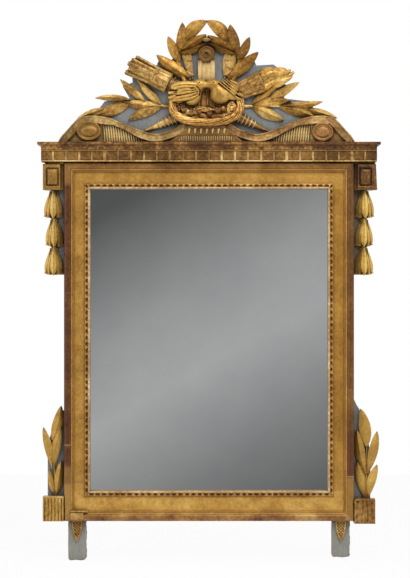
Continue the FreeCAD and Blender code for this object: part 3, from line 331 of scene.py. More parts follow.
def paint(name, tone, back):
    """Old distemper paint, worn through to grey wood and darkened in its hollows by grime and painted shade,
    with unpainted wood at the back.
    """
    shader = Shader(name)
    patch = shader.noise(30.0, 6.0, 0.7)
    streak = shader.noise(9.0, 4.0, 0.6, shader.stretched((50, 50, 6)))
    fine = shader.noise(420.0, 3.0)
    dark = tuple(c * 0.55 for c in tone[:3]) + (1.0,)
    pale = tuple(min(1.0, c * 1.35) for c in tone[:3]) + (1.0,)
    blend = shader.weighted((patch, 0.6), (streak, 0.4))
    colour = shader.ramp(blend, ((0.32, dark), (0.48, tone), (0.7, pale)))
    hollow = shader.hollow(0.016)
    chipped = shader.math("ADD", shader.edge(0.0014, hollow), shader.math("MULTIPLY", patch, 0.6))
    colour = shader.mix(shader.spread(chipped, 0.55, 0.75), colour, PAINT_CHIP)
    # Hollows darkened by occlusion: grime and painted shade
    colour = shader.mix(shader.spread(hollow, 0.25, 0.9, 0.0, 0.75), colour, PAINT_GRIME_AND_SHADE)
    timber, _ = wood(shader, PINE, PINE_DARK, back)
    colour = shader.mix(shader.behind(), colour, timber)
    shader.bump(shader.math("ADD", streak, shader.math("MULTIPLY", fine, 0.4)), 0.3, 0.0008)
    return shader.finish(colour, shader.spread(fine, 0.3, 0.7, 0.6, 0.85))


def bare_wood(name, light, dark, along):
    shader = Shader(name)
    colour, grain = wood(shader, light, dark, along)
    # Hollows darkened by occlusion: grime and painted shade
    colour = shader.mix(shader.spread(shader.hollow(0.02), 0.2, 0.9, 0.0, 0.8), colour, WOOD_GRIME_AND_SHADE)
    stain = shader.noise(7.0, 5.0, 0.6)
    colour = shader.mix(shader.spread(stain, 0.52, 0.75, 0.0, 0.5), colour, WOOD_STAIN)
    shader.bump(grain, 0.4, 0.0007)
    return shader.finish(colour, shader.spread(stain, 0.3, 0.7, 0.62, 0.82))


def iron(name):
    """Forged iron with hammer marks and thin rust."""
    shader = Shader(name)
    rust = shader.noise(220.0, 6.0, 0.7)
    marks = shader.noise(260.0, 2.0)
    colour = shader.ramp(rust, ((0.38, srgb(44, 42, 41)), (0.55, srgb(62, 52, 46)), (0.7, srgb(112, 66, 40))))
    shader.bump(shader.math("ADD", marks, shader.math("MULTIPLY", rust, 0.5)), 0.5, 0.0006)
    metal = shader.spread(rust, 0.5, 0.7, 0.8, 0.1)
    return shader.finish(colour, shader.spread(rust, 0.4, 0.7, 0.42, 0.8), metal)


def silvered_glass(name):
    """Old mirror: silvering that has gone a little cloudy towards its edges, with small foxing spots."""
    shader = Shader(name)
    cloud = shader.noise(5.0, 4.0, 0.6)
    spot = shader.noise(150.0, 2.0, 0.5)
    middle = ((SIGHT_BOTTOM + SIGHT_TOP) / 2 - ORIGIN_LEVEL) * MM
    height = shader.math("SUBTRACT", shader.axis("Z"), middle)
    place_x = shader.math("DIVIDE", shader.math("ABSOLUTE", shader.axis("X")), SIGHT_HALF * MM)
    place_z = shader.math("DIVIDE", shader.math("ABSOLUTE", height), (SIGHT_TOP - SIGHT_BOTTOM) / 2 * MM)
    rim = shader.spread(shader.math("MAXIMUM", place_x, place_z), 0.93, 1.02)
    foxed = shader.spread(shader.math("ADD", spot, shader.math("MULTIPLY", rim, 0.12)), 0.8, 0.88)
    colour = shader.ramp(cloud, ((0.3, srgb(232, 234, 235)), (0.7, srgb(243, 244, 244))))
    colour = shader.mix(shader.math("MULTIPLY", foxed, 0.5), colour, srgb(120, 112, 100))
    return shader.finish(colour, shader.spread(cloud, 0.3, 0.7, 0.015, 0.03), 1.0)


# Heights on the outer bands where the leaf is whole or the bole shows, and the lines where laps of leaf meet
LEFT_ZONES = (
    (60, 158, srgb(178, 136, 68), 5, 0.9), (158, 190, srgb(150, 108, 54), 9, 0.85),
    (232, 233, GESSO, 0.7, 0.5), (752, 810, srgb(152, 108, 52), 7, 0.8),
)
RIGHT_ZONES = (
    (60, 168, srgb(164, 120, 56), 3, 0.9), (174, 262, srgb(98, 54, 30), 5, 0.85),
    (169, 170, GESSO, 0.7, 0.55),
)
STILE_ZONE = (40, 170, srgb(208, 160, 78), 60, 0.85)
LEFT_STILE_ZONES = (STILE_ZONE, (157, 158, GRIME_AND_SHADE, 0.6, 0.5))

# Gildings: dark, middle and light tone as they look on a screen, and how each differs from the usual one
GILDINGS = {
    "gilding": ((148, 104, 44), (190, 143, 68), (226, 178, 96), dict()),
    "left_frieze": (
        (150, 106, 44), (188, 141, 64), (216, 168, 86),
        dict(wear=0.2, edge_wear_and_highlight=0.25, back="z", zones=LEFT_STILE_ZONES),
    ),
    "right_frieze": (
        (142, 98, 38), (179, 130, 54), (206, 157, 74),
        dict(wear=0.2, edge_wear_and_highlight=0.25, back="z", zones=(STILE_ZONE,)),
    ),
    "top_frieze": ((150, 106, 44), (188, 141, 64), (216, 168, 86), dict(wear=0.18, edge_wear_and_highlight=0.25, back="x")),
    "bottom_frieze": (
        (174, 126, 56), (216, 167, 83), (250, 208, 122),
        dict(wear=0.12, edge_wear_and_highlight=0.25, back="x"),
    ),
    "left_leaf": ((112, 78, 30), (180, 136, 62), (246, 210, 130), dict(wear=0.25, edge_wear_and_highlight=0.55, steps=CRISP)),
    "right_leaf": ((140, 100, 42), (212, 168, 84), (254, 226, 150), dict(wear=0.2, edge_wear_and_highlight=0.55, steps=CRISP)),
    "crown_leaf": ((94, 62, 20), (152, 108, 40), (204, 158, 76), dict(wear=0.35, steps=CRISP)),
    "pale_leaf": ((190, 143, 68), (222, 184, 110), (232, 210, 166), dict(wear=0.12, edge_wear_and_highlight=0.5, hollow_grime_and_shade=0.5)),
    "spray_leaf": ((138, 102, 42), (180, 140, 64), (214, 174, 94), dict(wear=0.2, edge_wear_and_highlight=0.5)),
    "left_husk": ((176, 134, 58), (232, 190, 98), (252, 228, 150), dict(wear=0.12, hollow_grime_and_shade=0.5)),
    # Darker copy of the husk gilding for the outer petals and necks: painted shade beside the central petal
    "husk_painted_shade": ((146, 112, 52), (208, 166, 84), (244, 208, 124), dict(wear=0.22, hollow_grime_and_shade=0.6)),
    "flame": ((146, 104, 44), (220, 174, 90), (255, 232, 158), dict(wear=0.15, hollow_grime_and_shade=1.0, steps=CRISP)),
    "ring": ((176, 138, 82), (220, 188, 132), (244, 222, 176), dict(wear=0.2, metal=0.2)),
    "trim": ((150, 116, 64), (190, 156, 98), (226, 200, 150), dict(wear=0.3, metal=0.2)),
    "right_husk": ((192, 144, 58), (242, 200, 100), (254, 232, 150), dict(wear=0.12, hollow_grime_and_shade=0.5)),
    "left_dove": ((160, 118, 50), (204, 160, 80), (240, 202, 122), dict(wear=0.15, hollow_grime_and_shade=0.95)),
    "right_dove": ((140, 100, 40), (180, 138, 66), (224, 184, 104), dict(wear=0.15, hollow_grime_and_shade=0.95)),
    "nest": ((130, 86, 36), (202, 150, 74), (250, 208, 124), dict(wear=0.3, hollow_grime_and_shade=0.95, steps=CRISP)),
    # Darker copy of the nest gilding for its hollow: painted shade
    "nest_painted_shade": ((100, 64, 30), (162, 112, 56), (216, 166, 92), dict(wear=0.3, hollow_grime_and_shade=0.9, metal=0.2)),
    "quiver": ((92, 64, 27), (142, 105, 50), (212, 172, 102), dict(wear=0.4, hollow_grime_and_shade=1.0, steps=CRISP)),
    "torch": ((122, 86, 38), (196, 150, 80), (252, 216, 142), dict(wear=0.3, hollow_grime_and_shade=1.0, steps=CRISP)),
    "left_scroll": ((118, 88, 46), (164, 130, 74), (218, 184, 118), dict(wear=0.35, metal=0.2, steps=CRISP)),
    "right_scroll": ((120, 86, 46), (178, 136, 80), (230, 192, 126), dict(wear=0.4, metal=0.2, steps=CRISP)),
    "cream": ((184, 144, 80), (222, 188, 122), (244, 220, 164), dict(wear=0.15, metal=0.15, hollow_grime_and_shade=1.0)),
    "left_boss": ((126, 90, 42), (168, 126, 60), (206, 162, 88), dict(wear=0.4, metal=0.3)),
    "right_boss": ((130, 86, 46), (182, 134, 74), (234, 198, 132), dict(wear=0.55, metal=0.25)),
    "pedestal": ((100, 68, 32), (142, 102, 52), (194, 152, 86), dict(wear=0.35, metal=0.25)),
    "roundel": ((84, 54, 22), (122, 84, 36), (166, 124, 62), dict(wear=0.45, metal=0.3)),
    "left_band": ((70, 38, 18), (94, 56, 26), (128, 84, 40), dict(wear=0.5, metal=0.2, zones=LEFT_ZONES)),
    "right_band": ((74, 44, 18), (110, 72, 30), (142, 100, 46), dict(wear=0.4, metal=0.2, zones=RIGHT_ZONES)),
    "top_band": ((94, 58, 25), (136, 93, 41), (176, 130, 64), dict(wear=0.4, metal=0.2, hollow_grime_and_shade=0.4)),
    "bottom_band": ((92, 50, 28), (156, 112, 58), (206, 168, 104), dict(wear=0.5, metal=0.2)),
    "fillet": ((152, 110, 48), (186, 142, 70), (222, 180, 106), dict(wear=0.2, metal=0.2)),
    "bead": ((148, 106, 46), (184, 138, 64), (212, 166, 86), dict(wear=0.2, metal=0.3, hollow_grime_and_shade=0.5)),
    "tips": ((124, 82, 36), (178, 130, 62), (222, 176, 98), dict(wear=0.3, metal=0.25, hollow_grime_and_shade=0.9)),
    "lip": ((140, 104, 60), (194, 160, 110), (246, 226, 184), dict(wear=0.4, metal=0.15)),
    # Dark gilding for the inner face of the sight mouldings at the glass: painted shade, seen as a dark line
    # at the glass edge
    "sight_edge_painted_shade": ((56, 38, 16), (84, 60, 28), (120, 92, 50), dict(wear=0.3, metal=0.1)),
    "dentil": (
        (68, 42, 18), (112, 76, 33), (156, 114, 55),
        dict(wear=0.4, edge_wear_and_highlight=0.2, metal=0.25, back="x", steps=CRISP),
    ),
    "gap": (
        (112, 78, 36), (190, 148, 80), (240, 208, 142),
        dict(wear=0.3, metal=0.3, hollow_grime_and_shade=0.4, back="x", steps=CRISP),
    ),
    "low_line": (
        (124, 88, 40), (192, 152, 84), (238, 206, 144),
        dict(wear=0.35, metal=0.25, hollow_grime_and_shade=0.3, back="x", steps=CRISP),
    ),
    "high_line": ((112, 78, 34), (156, 116, 56), (196, 154, 84), dict(wear=0.35, metal=0.25, back="x")),
    "cornice": (
        (60, 34, 14), (114, 74, 32), (204, 154, 80),
        dict(wear=0.55, metal=0.2, back="x", steps=CRISP),
    ),
    "left_block": ((112, 78, 34), (154, 114, 52), (200, 158, 84), dict(wear=0.35, edge_wear_and_highlight=0.5, metal=0.3)),
    "right_block": (
        (78, 50, 22), (118, 80, 38), (182, 138, 76),
        dict(wear=0.45, edge_wear_and_highlight=0.5, metal=0.3, steps=CRISP),
    ),
    "left_reeds": ((136, 98, 44), (190, 146, 70), (230, 194, 122), dict(wear=0.25, edge_wear_and_highlight=0.6, metal=0.3)),
    "right_reeds": ((98, 58, 24), (148, 104, 46), (210, 172, 102), dict(wear=0.5, edge_wear_and_highlight=0.6, metal=0.3)),
    "drop": ((120, 78, 36), (180, 136, 66), (232, 198, 130), dict(wear=0.4, edge_wear_and_highlight=0.6, metal=0.3)),
}
MATERIALS = {
    name: gilding(name, [srgb(*tone) for tone in tones], **settings)
    for name, (*tones, settings) in GILDINGS.items()
}
MATERIALS.update({
    "paint": paint("paint", srgb(126, 130, 130), "x"),
    "foot_paint": paint("foot_paint", srgb(140, 139, 131), "z"),
    "dark_paint": paint("dark_paint", srgb(98, 86, 70), "z"),
    "pine": bare_wood("pine", PINE, PINE_DARK, "x"),
    "batten": bare_wood("batten", PINE, PINE_DARK, "z"),
    "oak": bare_wood("oak", srgb(140, 104, 66), srgb(92, 66, 40), "z"),
    "iron": iron("iron"),
    "glass": silvered_glass("glass"),
})

# Nodes of the frame that show, by material; carved pieces stand for all the others
NODE_MATERIALS = {
    "left_frieze": ("left_stile",),
    "right_frieze": ("right_stile",),
    "top_frieze": ("top_rail",),
    "bottom_frieze": ("bottom_rail",),
    "cornice": ("cornice",),
    "paint": ("crest_board", "left_upper_ear_board", "left_lower_ear_board", "right_lower_ear_board"),
    "dark_paint": ("right_upper_ear_board",),
    "pine": ("bottom_backboard", "middle_backboard", "top_backboard"),
    "batten": ("crest_battens",),
    "oak": ("corner_pegs",),
    "iron": (
        "backboard_nails", "iron_screws", "left_hanger_plate", "right_hanger_plate", "left_hanging_ring",
        "right_hanging_ring",
    ),
    "glass": ("mirror_glass",),
}

# How close points are one, and the width of the worn edges and the angle from which an edge has one
SAME_PLACE = 0.00001
SOFT_EDGE = 0.0006
SOFT_EDGE_ANGLE = math.radians(35)


def dress_frame():
    """Gives every node of the frame its material, and softens its edges as hand work would leave them."""
    named = {node: key for key, nodes in NODE_MATERIALS.items() for node in nodes}
    for node, piece in frame["nodes"].items():
        piece.data.materials.clear()
        piece.data.materials.append(MATERIALS[named.get(node, "gilding")])
        weld = piece.modifiers.new("weld", "WELD")
        weld.merge_threshold = SAME_PLACE
        bevel = piece.modifiers.new("soft_edges", "BEVEL")
        bevel.width = SOFT_EDGE
        bevel.segments = 2
        bevel.limit_method = "ANGLE"
        bevel.angle_limit = SOFT_EDGE_ANGLE
        bevel.harden_normals = False


# Carved pieces as meshes


class Carved:
    """One carved piece: closed shells gathered in millimetres, made into one object at the end."""

    def __init__(self):
        self.points = []
        self.faces = []
        self.kinds = []

    def shell(self, points, faces, kind=0):
        """Adds a closed shell; its faces are turned outward when the piece is made."""
        start = len(self.points)
        self.points.extend(map(tuple, points))
        self.faces.extend([tuple(start + i for i in face) for face in faces])
        self.kinds.extend([kind] * len(faces))

    def make(self, name, slot, materials, *nodes, sharp=38.0, body="frame"):
        """Turns the shells into an object that rides on a body and stands for nodes of the frame."""
        mesh = bpy.data.meshes.new(name)
        placed = [(x * MM, -d * MM, (z - ORIGIN_LEVEL) * MM) for x, d, z in self.points]
        mesh.from_pydata(placed, [], self.faces)
        for material in materials:
            mesh.materials.append(MATERIALS[material])
        mesh.polygons.foreach_set("material_index", self.kinds)
        mesh.polygons.foreach_set("use_smooth", [True] * len(self.faces))
        work = bmesh.new()
        work.from_mesh(mesh)
        bmesh.ops.recalc_face_normals(work, faces=work.faces)
        work.to_mesh(mesh)
        work.free()
        mesh.set_sharp_from_angle(angle=math.radians(sharp))
        made = bpy.data.objects.new(name, mesh)
        bpy.context.scene.collection.objects.link(made)
        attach(made, body)
        if nodes:
            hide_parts(*nodes)
        return made


def wobble(x, d, z, scale):
    """Smooth noise between about -1 and 1 at a place in millimetres."""
    return noise.noise(Vector((x, d, z)) / scale)


def in_crest(u, v):
    return u + CREST_SHIFT, v + CORNICE_TOP


def at(u, v, d):
    """Place in the crest as (x, d, z)."""
    x, z = in_crest(u, v)
    return (x, d, z)


LEAF_ROWS = 24
LEAF_COLUMNS = 13
TOOL_MARK = 0.35


def leaf(piece, base, tip, width, seat, rise, edge=4.0, bend=0.0, roll=0.0, lift=1.5, blunt=0.0,
         full=0.86, kind=0):
    """Carved leaf: a roof of two flanks with a fine midrib, undercut at its edges.

    bend bows it sideways, roll lifts one edge, lift raises its tip, blunt widens the tip, and full sets where
    it is widest: nearer the tip when over 1.
    """
    base, tip = np.array(base, float), np.array(tip, float)
    along = tip - base
    length = np.linalg.norm(along)
    across = np.array((-along[1], along[0])) / length
    points = []
    feet = []
    for row in range(LEAF_ROWS):
        s = row / (LEAF_ROWS - 1)
        centre = base + along * s + across * (bend * length * 4 * s * (1 - s))
        shape = math.sin(math.pi * s ** full) ** 0.68 if 0 < s < 1 else 0.0
        half = width / 2 * max(shape, 0.3 * (1 - s) ** 2, blunt * s ** 6, 0.03)
        crown = (rise - edge) * (0.45 + 0.55 * math.sin(math.pi * min(1.0, s * 0.9 + 0.08)))
        level = seat + edge * (0.8 + 0.2 * s) + lift * s ** 3
        for column in range(LEAF_COLUMNS):
            t = column / (LEAF_COLUMNS - 1) * 2 - 1
            x, z = centre + across * (half * t)
            ridge = 1 - abs(t) ** 1.3 + 0.2 * math.exp(-((t / 0.12) ** 2))
            d = level + crown * ridge + roll * t * half / 8
            d += TOOL_MARK * wobble(x, d, z, 5.0) + 0.5 * wobble(x, d, z, 14.0)
            points.append((x, d, z))
        for t in (-0.72, 0.72):
            x, z = centre + across * (half * t)
            feet.append((x, seat, z))
    foot = len(points)
    last = LEAF_COLUMNS - 1
    faces = []
    for row in range(LEAF_ROWS - 1):
        here, there = row * LEAF_COLUMNS, (row + 1) * LEAF_COLUMNS
        below, beyond = foot + 2 * row, foot + 2 * row + 2
        for column in range(last):
            faces.append((here + column, here + column + 1, there + column + 1, there + column))
        faces.append((here, there, beyond, below))
        faces.append((here + last, below + 1, beyond + 1, there + last))
        faces.append((below, beyond, beyond + 1, below + 1))
    end = (LEAF_ROWS - 1) * LEAF_COLUMNS
    faces.append((*range(LEAF_COLUMNS), foot + 1, foot))
    faces.append((*range(end, end + LEAF_COLUMNS), foot + 2 * LEAF_ROWS - 1, foot + 2 * LEAF_ROWS - 2))
    piece.shell(points + feet, faces, kind)


def tube(piece, path, radii, sides=10, kind=0):
    """Round rod along a path of (x, d, z), with a radius at each point and domed ends."""
    path = [Vector(p) for p in path]
    points, faces = [], []
    for i, place in enumerate(path):
        ahead = path[min(i + 1, len(path) - 1)] - path[max(i - 1, 0)]
        ahead.normalize()
        first = ahead.cross(Vector((0, 1, 0)))
        if first.length < 0.01:
            first = ahead.cross(Vector((1, 0, 0)))
        first.normalize()
        second = ahead.cross(first)
        for k in range(sides):
            angle = 2 * math.pi * k / sides
            points.append(place + (first * math.cos(angle) + second * math.sin(angle)) * radii[i])
    for i in range(len(path) - 1):
        for k in range(sides):
            n = (k + 1) % sides
            faces.append((i * sides + k, i * sides + n, (i + 1) * sides + n, (i + 1) * sides + k))
    faces.append(tuple(range(sides)))
    faces.append(tuple(range((len(path) - 1) * sides, len(path) * sides)))
    piece.shell(points, faces, kind)


def smooth_path(points, steps=8):
    """Points along a smooth curve through the given ones."""
    points = [np.array(p, float) for p in points]
    padded = [2 * points[0] - points[1], *points, 2 * points[-1] - points[-2]]
    found = []
    for a, b, c, e in zip(padded, padded[1:], padded[2:], padded[3:]):
        for step in range(steps):
            t = step / steps
            found.append(0.5 * (2 * b + (c - a) * t + (2 * a - 5 * b + 4 * c - e) * t * t
                                + (3 * b - a - 3 * c + e) * t ** 3))
    found.append(points[-1])
    return found


# Laurel

# Leaves: base, tip and width
LEFT_BRANCH = (
    ((-205, 63), (-258, 44), 15), ((-152, 76), (-232, 47), 23), ((-152, 80), (-223, 84), 14),
    ((-122, 77), (-173, 122), 16), ((-92, 72), (-139, 122), 18), ((-90, 68), (-156, 41), 21),
    ((-90, 68), (-168, 77), 19),
)
RIGHT_BRANCH = (
    ((203, 62), (262, 44), 16), ((147, 67), (219, 45), 21), ((153, 69), (233, 77), 16),
    ((124, 77), (186, 116), 19), ((92, 72), (153, 122), 18), ((92, 69), (155, 40), 22),
    ((92, 70), (169, 79), 19),
)
BRANCH_STEMS = {"left": ((-70, 67), (-140, 72), (-205, 63)), "right": ((70, 68), (140, 68), (203, 62))}
CROWN = (
    ((-43, 200), (1, 238.5), 27), ((43, 198), (0, 238.5), 27), ((-55, 174), (-48, 235), 21),
    ((62, 170), (47, 231), 24), ((-54, 156), (-77, 207), 21), ((64, 160), (86, 206), 19),
    ((-36, 126), (-100, 170), 25), ((44, 124), (104, 176), 25), ((-50, 180), (0, 211), 22),
    ((56, 178), (2, 209), 22), ((-52, 174), (2, 193), 15), ((58, 172), (4, 193), 15),
)
CROWN_STEMS = (((-44, 118), (-58, 165), (-48, 196)), ((52, 116), (66, 160), (50, 194)))
# Ribbon tails: foot, head and width
RIBBONS = (((-30, 122), (-41, 178), 20), ((40, 122), (49, 180), 22))
LEAF_RISE = 11.0
CROWN_LEAF_RISE = 14.0
# Bend of the two leaves that arch over the top of the crown
CROWN_ARCH = {0: 0.1, 1: -0.1}
# Radii of a branch's stem at its two ends, and of the crown's stems
BRANCH_STEM = (3.6, 1.8)
CROWN_STEM = 5.0
# Bead where the inner leaves of the crown meet: base, tip and width
CROWN_BEAD = ((-9, 201), (9, 200), 9)
RIBBON_RISE = 9.0
# Long pleats and short folds of each ribbon
RIBBON_PLEATS = 3
RIBBON_FOLDS = 3


def leaf_twist(index):
    """Bend and roll of the leaf with this number, so that no two in a row are the same."""
    return 0.035 * math.sin(index * 2.3), 1.1 * math.sin(index * 1.7 + 0.6)


def laurel_branches():
    for side, leaves in (("left", LEFT_BRANCH), ("right", RIGHT_BRANCH)):
        piece = Carved()
        stem = smooth_path([in_crest(*p) for p in BRANCH_STEMS[side]])
        path = [(x, CREST_FRONT + 2.6, z) for x, z in stem]
        tube(piece, path, np.linspace(*BRANCH_STEM, len(path)))
        for index, (base, tip, width) in enumerate(leaves):
            bend, roll = leaf_twist(index)
            rise = LEAF_RISE + 1.2 * (index % 3)
            leaf(piece, in_crest(*base), in_crest(*tip), width, CREST_FRONT, rise, bend=bend, roll=roll)
        piece.make(f"{side}_branch_leaves", "gilding", [f"{side}_leaf"], f"{side}_laurel_branch")


def laurel_crown():
    """Leaves in a ring on two stems, with a small bead where the inner leaves meet."""
    piece = Carved()
    for stem in CROWN_STEMS:
        path = smooth_path([in_crest(*p) for p in stem])
        tube(piece, [(x, CREST_FRONT + 4, z) for x, z in path], [CROWN_STEM] * len(path))
    for index, (base, tip, width) in enumerate(CROWN):
        bend, roll = leaf_twist(index)
        bend = CROWN_ARCH.get(index, bend)
        rise = CROWN_LEAF_RISE + 1.1 * (index // 4)
        leaf(piece, in_crest(*base), in_crest(*tip), width, CREST_FRONT, rise, edge=8.0, bend=bend, roll=roll)
    base, tip, width = CROWN_BEAD
    leaf(piece, in_crest(*base), in_crest(*tip), width, CREST_FRONT, 18, edge=12.0, kind=1)
    piece.make("crown_leaves", "gilding", ["crown_leaf", "pale_leaf"], "laurel_crown")


def ribbon_tails():
    """Two hanging ends of ribbon: long pleats side by side, with short folds thrown across them."""
    piece = Carved()
    for (foot, head, width), lean in zip(RIBBONS, (1, -1)):
        foot, head = np.array(foot, float), np.array(head, float)
        length = np.linalg.norm(foot - head)
        run = (foot - head) / length
        aside = np.array((-run[1], run[0]))
        for pleat in range(RIBBON_PLEATS):
            out = (pleat / (RIBBON_PLEATS - 1) - 0.5) * width * 0.66
            start = head + aside * out + run * (2 + 3 * (pleat % 2))
            end = foot + aside * out * 0.45 - run * 6 * (pleat % 2)
            rise = RIBBON_RISE - 2.0 * (pleat % 2)
            leaf(
                piece, in_crest(*start), in_crest(*end), width * 0.52, CREST_FRONT, rise, edge=4.5, full=0.7,
                bend=0.03 * lean * (1 - pleat), blunt=0.4,
            )
        for fold in range(RIBBON_FOLDS):
            turn = lean * (1 if fold % 2 else -1)
            middle = head + run * length * (0.2 + 0.27 * fold)
            wide = width * (0.5 - 0.06 * fold)
            start = middle + aside * turn * wide - run * 5
            end = middle - aside * turn * wide * 0.9 + run * 9
            leaf(
                piece, in_crest(*start), in_crest(*end), 9.0, CREST_FRONT, RIBBON_RISE + 1.6, edge=7.0,
                bend=0.12 * turn, full=0.9,
            )
    piece.make("ribbon_folds", "gilding", ["pale_leaf"], "ribbon_tails")


LEFT_SPRAY = (
    ((23, 112), (6, 180), 22), ((22, 54), (6, 138), 19), ((24, 56), (42, 137), 16), ((17, 0), (6, 70), 18),
    ((19, 0), (30, 52), 11),
)
RIGHT_SPRAY = (
    ((26, 104), (14, 179), 24), ((24, 48), (6, 137), 21), ((28, 50), (47, 134), 19), ((22, 0), (6, 73), 19),
    ((28, 0), (47, 67), 18),
)
SPRAY_STEMS = {"left": ((18, 0), (20, 56), (23, 114)), "right": ((25, 0), (26, 56), (26, 112))}
SPRAY_STEM = (3.2, 1.8)
SPRAY_FOOT = {"left": 130.0, "right": 125.0}


def laurel_sprays():
    for side, leaves in (("left", LEFT_SPRAY), ("right", RIGHT_SPRAY)):
        sign, foot = SIDES[side], SPRAY_FOOT[side]

        def place(out, up):
            return sign * (FRAME_HALF + out), foot + up

        piece = Carved()
        stem = [(x, EAR_FRONT + 2.0, z) for x, z in smooth_path([place(*p) for p in SPRAY_STEMS[side]])]
        tube(piece, stem, np.linspace(*SPRAY_STEM, len(stem)))
        for index, (base, tip, width) in enumerate(leaves):
            bend, roll = leaf_twist(index + 5)
            rise = LEAF_RISE - 1.5 + index % 2
            full = 1.12 if index else 0.88
            leaf(
                piece, place(*base), place(*tip), width, EAR_FRONT, rise, edge=6.0, bend=bend, roll=roll,
                full=full,
            )
        piece.make(f"{side}_spray_leaves", "gilding", ["spray_leaf"], f"{side}_laurel_spray")


HUSK_TOP = 742.0
HUSK_LENGTH = 57.0
HUSK_COUNT = 3
# Petals of a husk, outermost first: place of the tip from the husk's foot, width, rise, edge and fullness
HUSK_PETALS = (
    (15.5, 3.0, 10.5, 8.0, 4.0, 1.5), (9.0, 1.0, 14.0, 13.0, 6.0, 1.6), (0.0, 0.0, 18.5, 19.0, 11.0, 1.1),
)
HUSK_NECK = 6.0


def husk_drops():
    """Three bell husks on each upper ear, each hanging out of the one above it."""
    for side, sign in SIDES.items():
        piece = Carved()
        for count in range(HUSK_COUNT):
            top = HUSK_TOP - HUSK_LENGTH * count
            foot = top - HUSK_LENGTH + 0.6
            middle = sign * EAR_CENTRE + 1.0 * math.sin(count * 2.1 + sign)
            neck = [(middle, EAR_FRONT + 4.0, top - 0.4 - 3 * k) for k in range(5)]
            tube(piece, neck, [HUSK_NECK * share for share in (0.8, 0.9, 1.0, 1.0, 0.9)], kind=1)
            for out, up, width, rise, edge, full in HUSK_PETALS:
                for turn in (-1, 1) if out else (1,):
                    lean = math.sin(count * 3 + turn + sign)
                    tip = (middle + turn * out + lean, foot + up)
                    base = (middle + turn * out * 0.42, top - 1.5)
                    leaf(
                        piece, base, tip, width, EAR_FRONT, rise, edge=edge, lift=0.5, full=full,
                        blunt=0.7 if out else 0.2, kind=1 if out else 0,
                    )
        # Outer petals and necks (kind 1) take the darker copy, a painted shade
        materials = [f"{side}_husk", "husk_painted_shade"]
        piece.make(f"{side}_husks", "gilding", materials, f"{side}_husk_drop", sharp=50.0)


# Carved pieces as solids of distances


def smooth_least(a, b, blend):
    """Lesser of two distances, rounded where they meet."""
    if blend <= 0:
        return np.minimum(a, b)
    share = np.clip(0.5 + 0.5 * (b - a) / blend, 0, 1)
    return b * (1 - share) + a * share - blend * share * (1 - share)


def apart(x, z, path):
    """Distance in the plane of the crest to a path of (u, v)."""
    least = None
    for first, last in zip(path, path[1:]):
        a, b = np.array(in_crest(*first)), np.array(in_crest(*last))
        along = b - a
        share = np.clip(((x - a[0]) * along[0] + (z - a[1]) * along[1]) / (along @ along), 0, 1)
        found = np.hypot(x - a[0] - share * along[0], z - a[1] - share * along[1])
        least = found if least is None else np.minimum(least, found)
    return least


def inside(x, z, path):
    """True within a closed path of (u, v)."""
    found = np.zeros(np.broadcast(x, z).shape, bool)
    for first, last in zip(path, path[1:] + path[:1]):
        a, b = in_crest(*first), in_crest(*last)
        crosses = (a[1] > z) != (b[1] > z)
        with np.errstate(divide="ignore", invalid="ignore"):
            reach = (b[0] - a[0]) * (z - a[1]) / (b[1] - a[1]) + a[0]
        found ^= crosses & (x < reach)
    return found


def area(x, z, path):
    """Signed distance to a closed path, negative within it."""
    away = apart(x, z, path + path[:1])
    return np.where(inside(x, z, path), -away, away)


def relief(edge, d, front, back, steep=0.7):
    """Distance to a solid with an outline, a carved front and a flat back; steep evens out its slopes."""
    return np.maximum(edge, np.maximum((d - front) * steep, back - d))


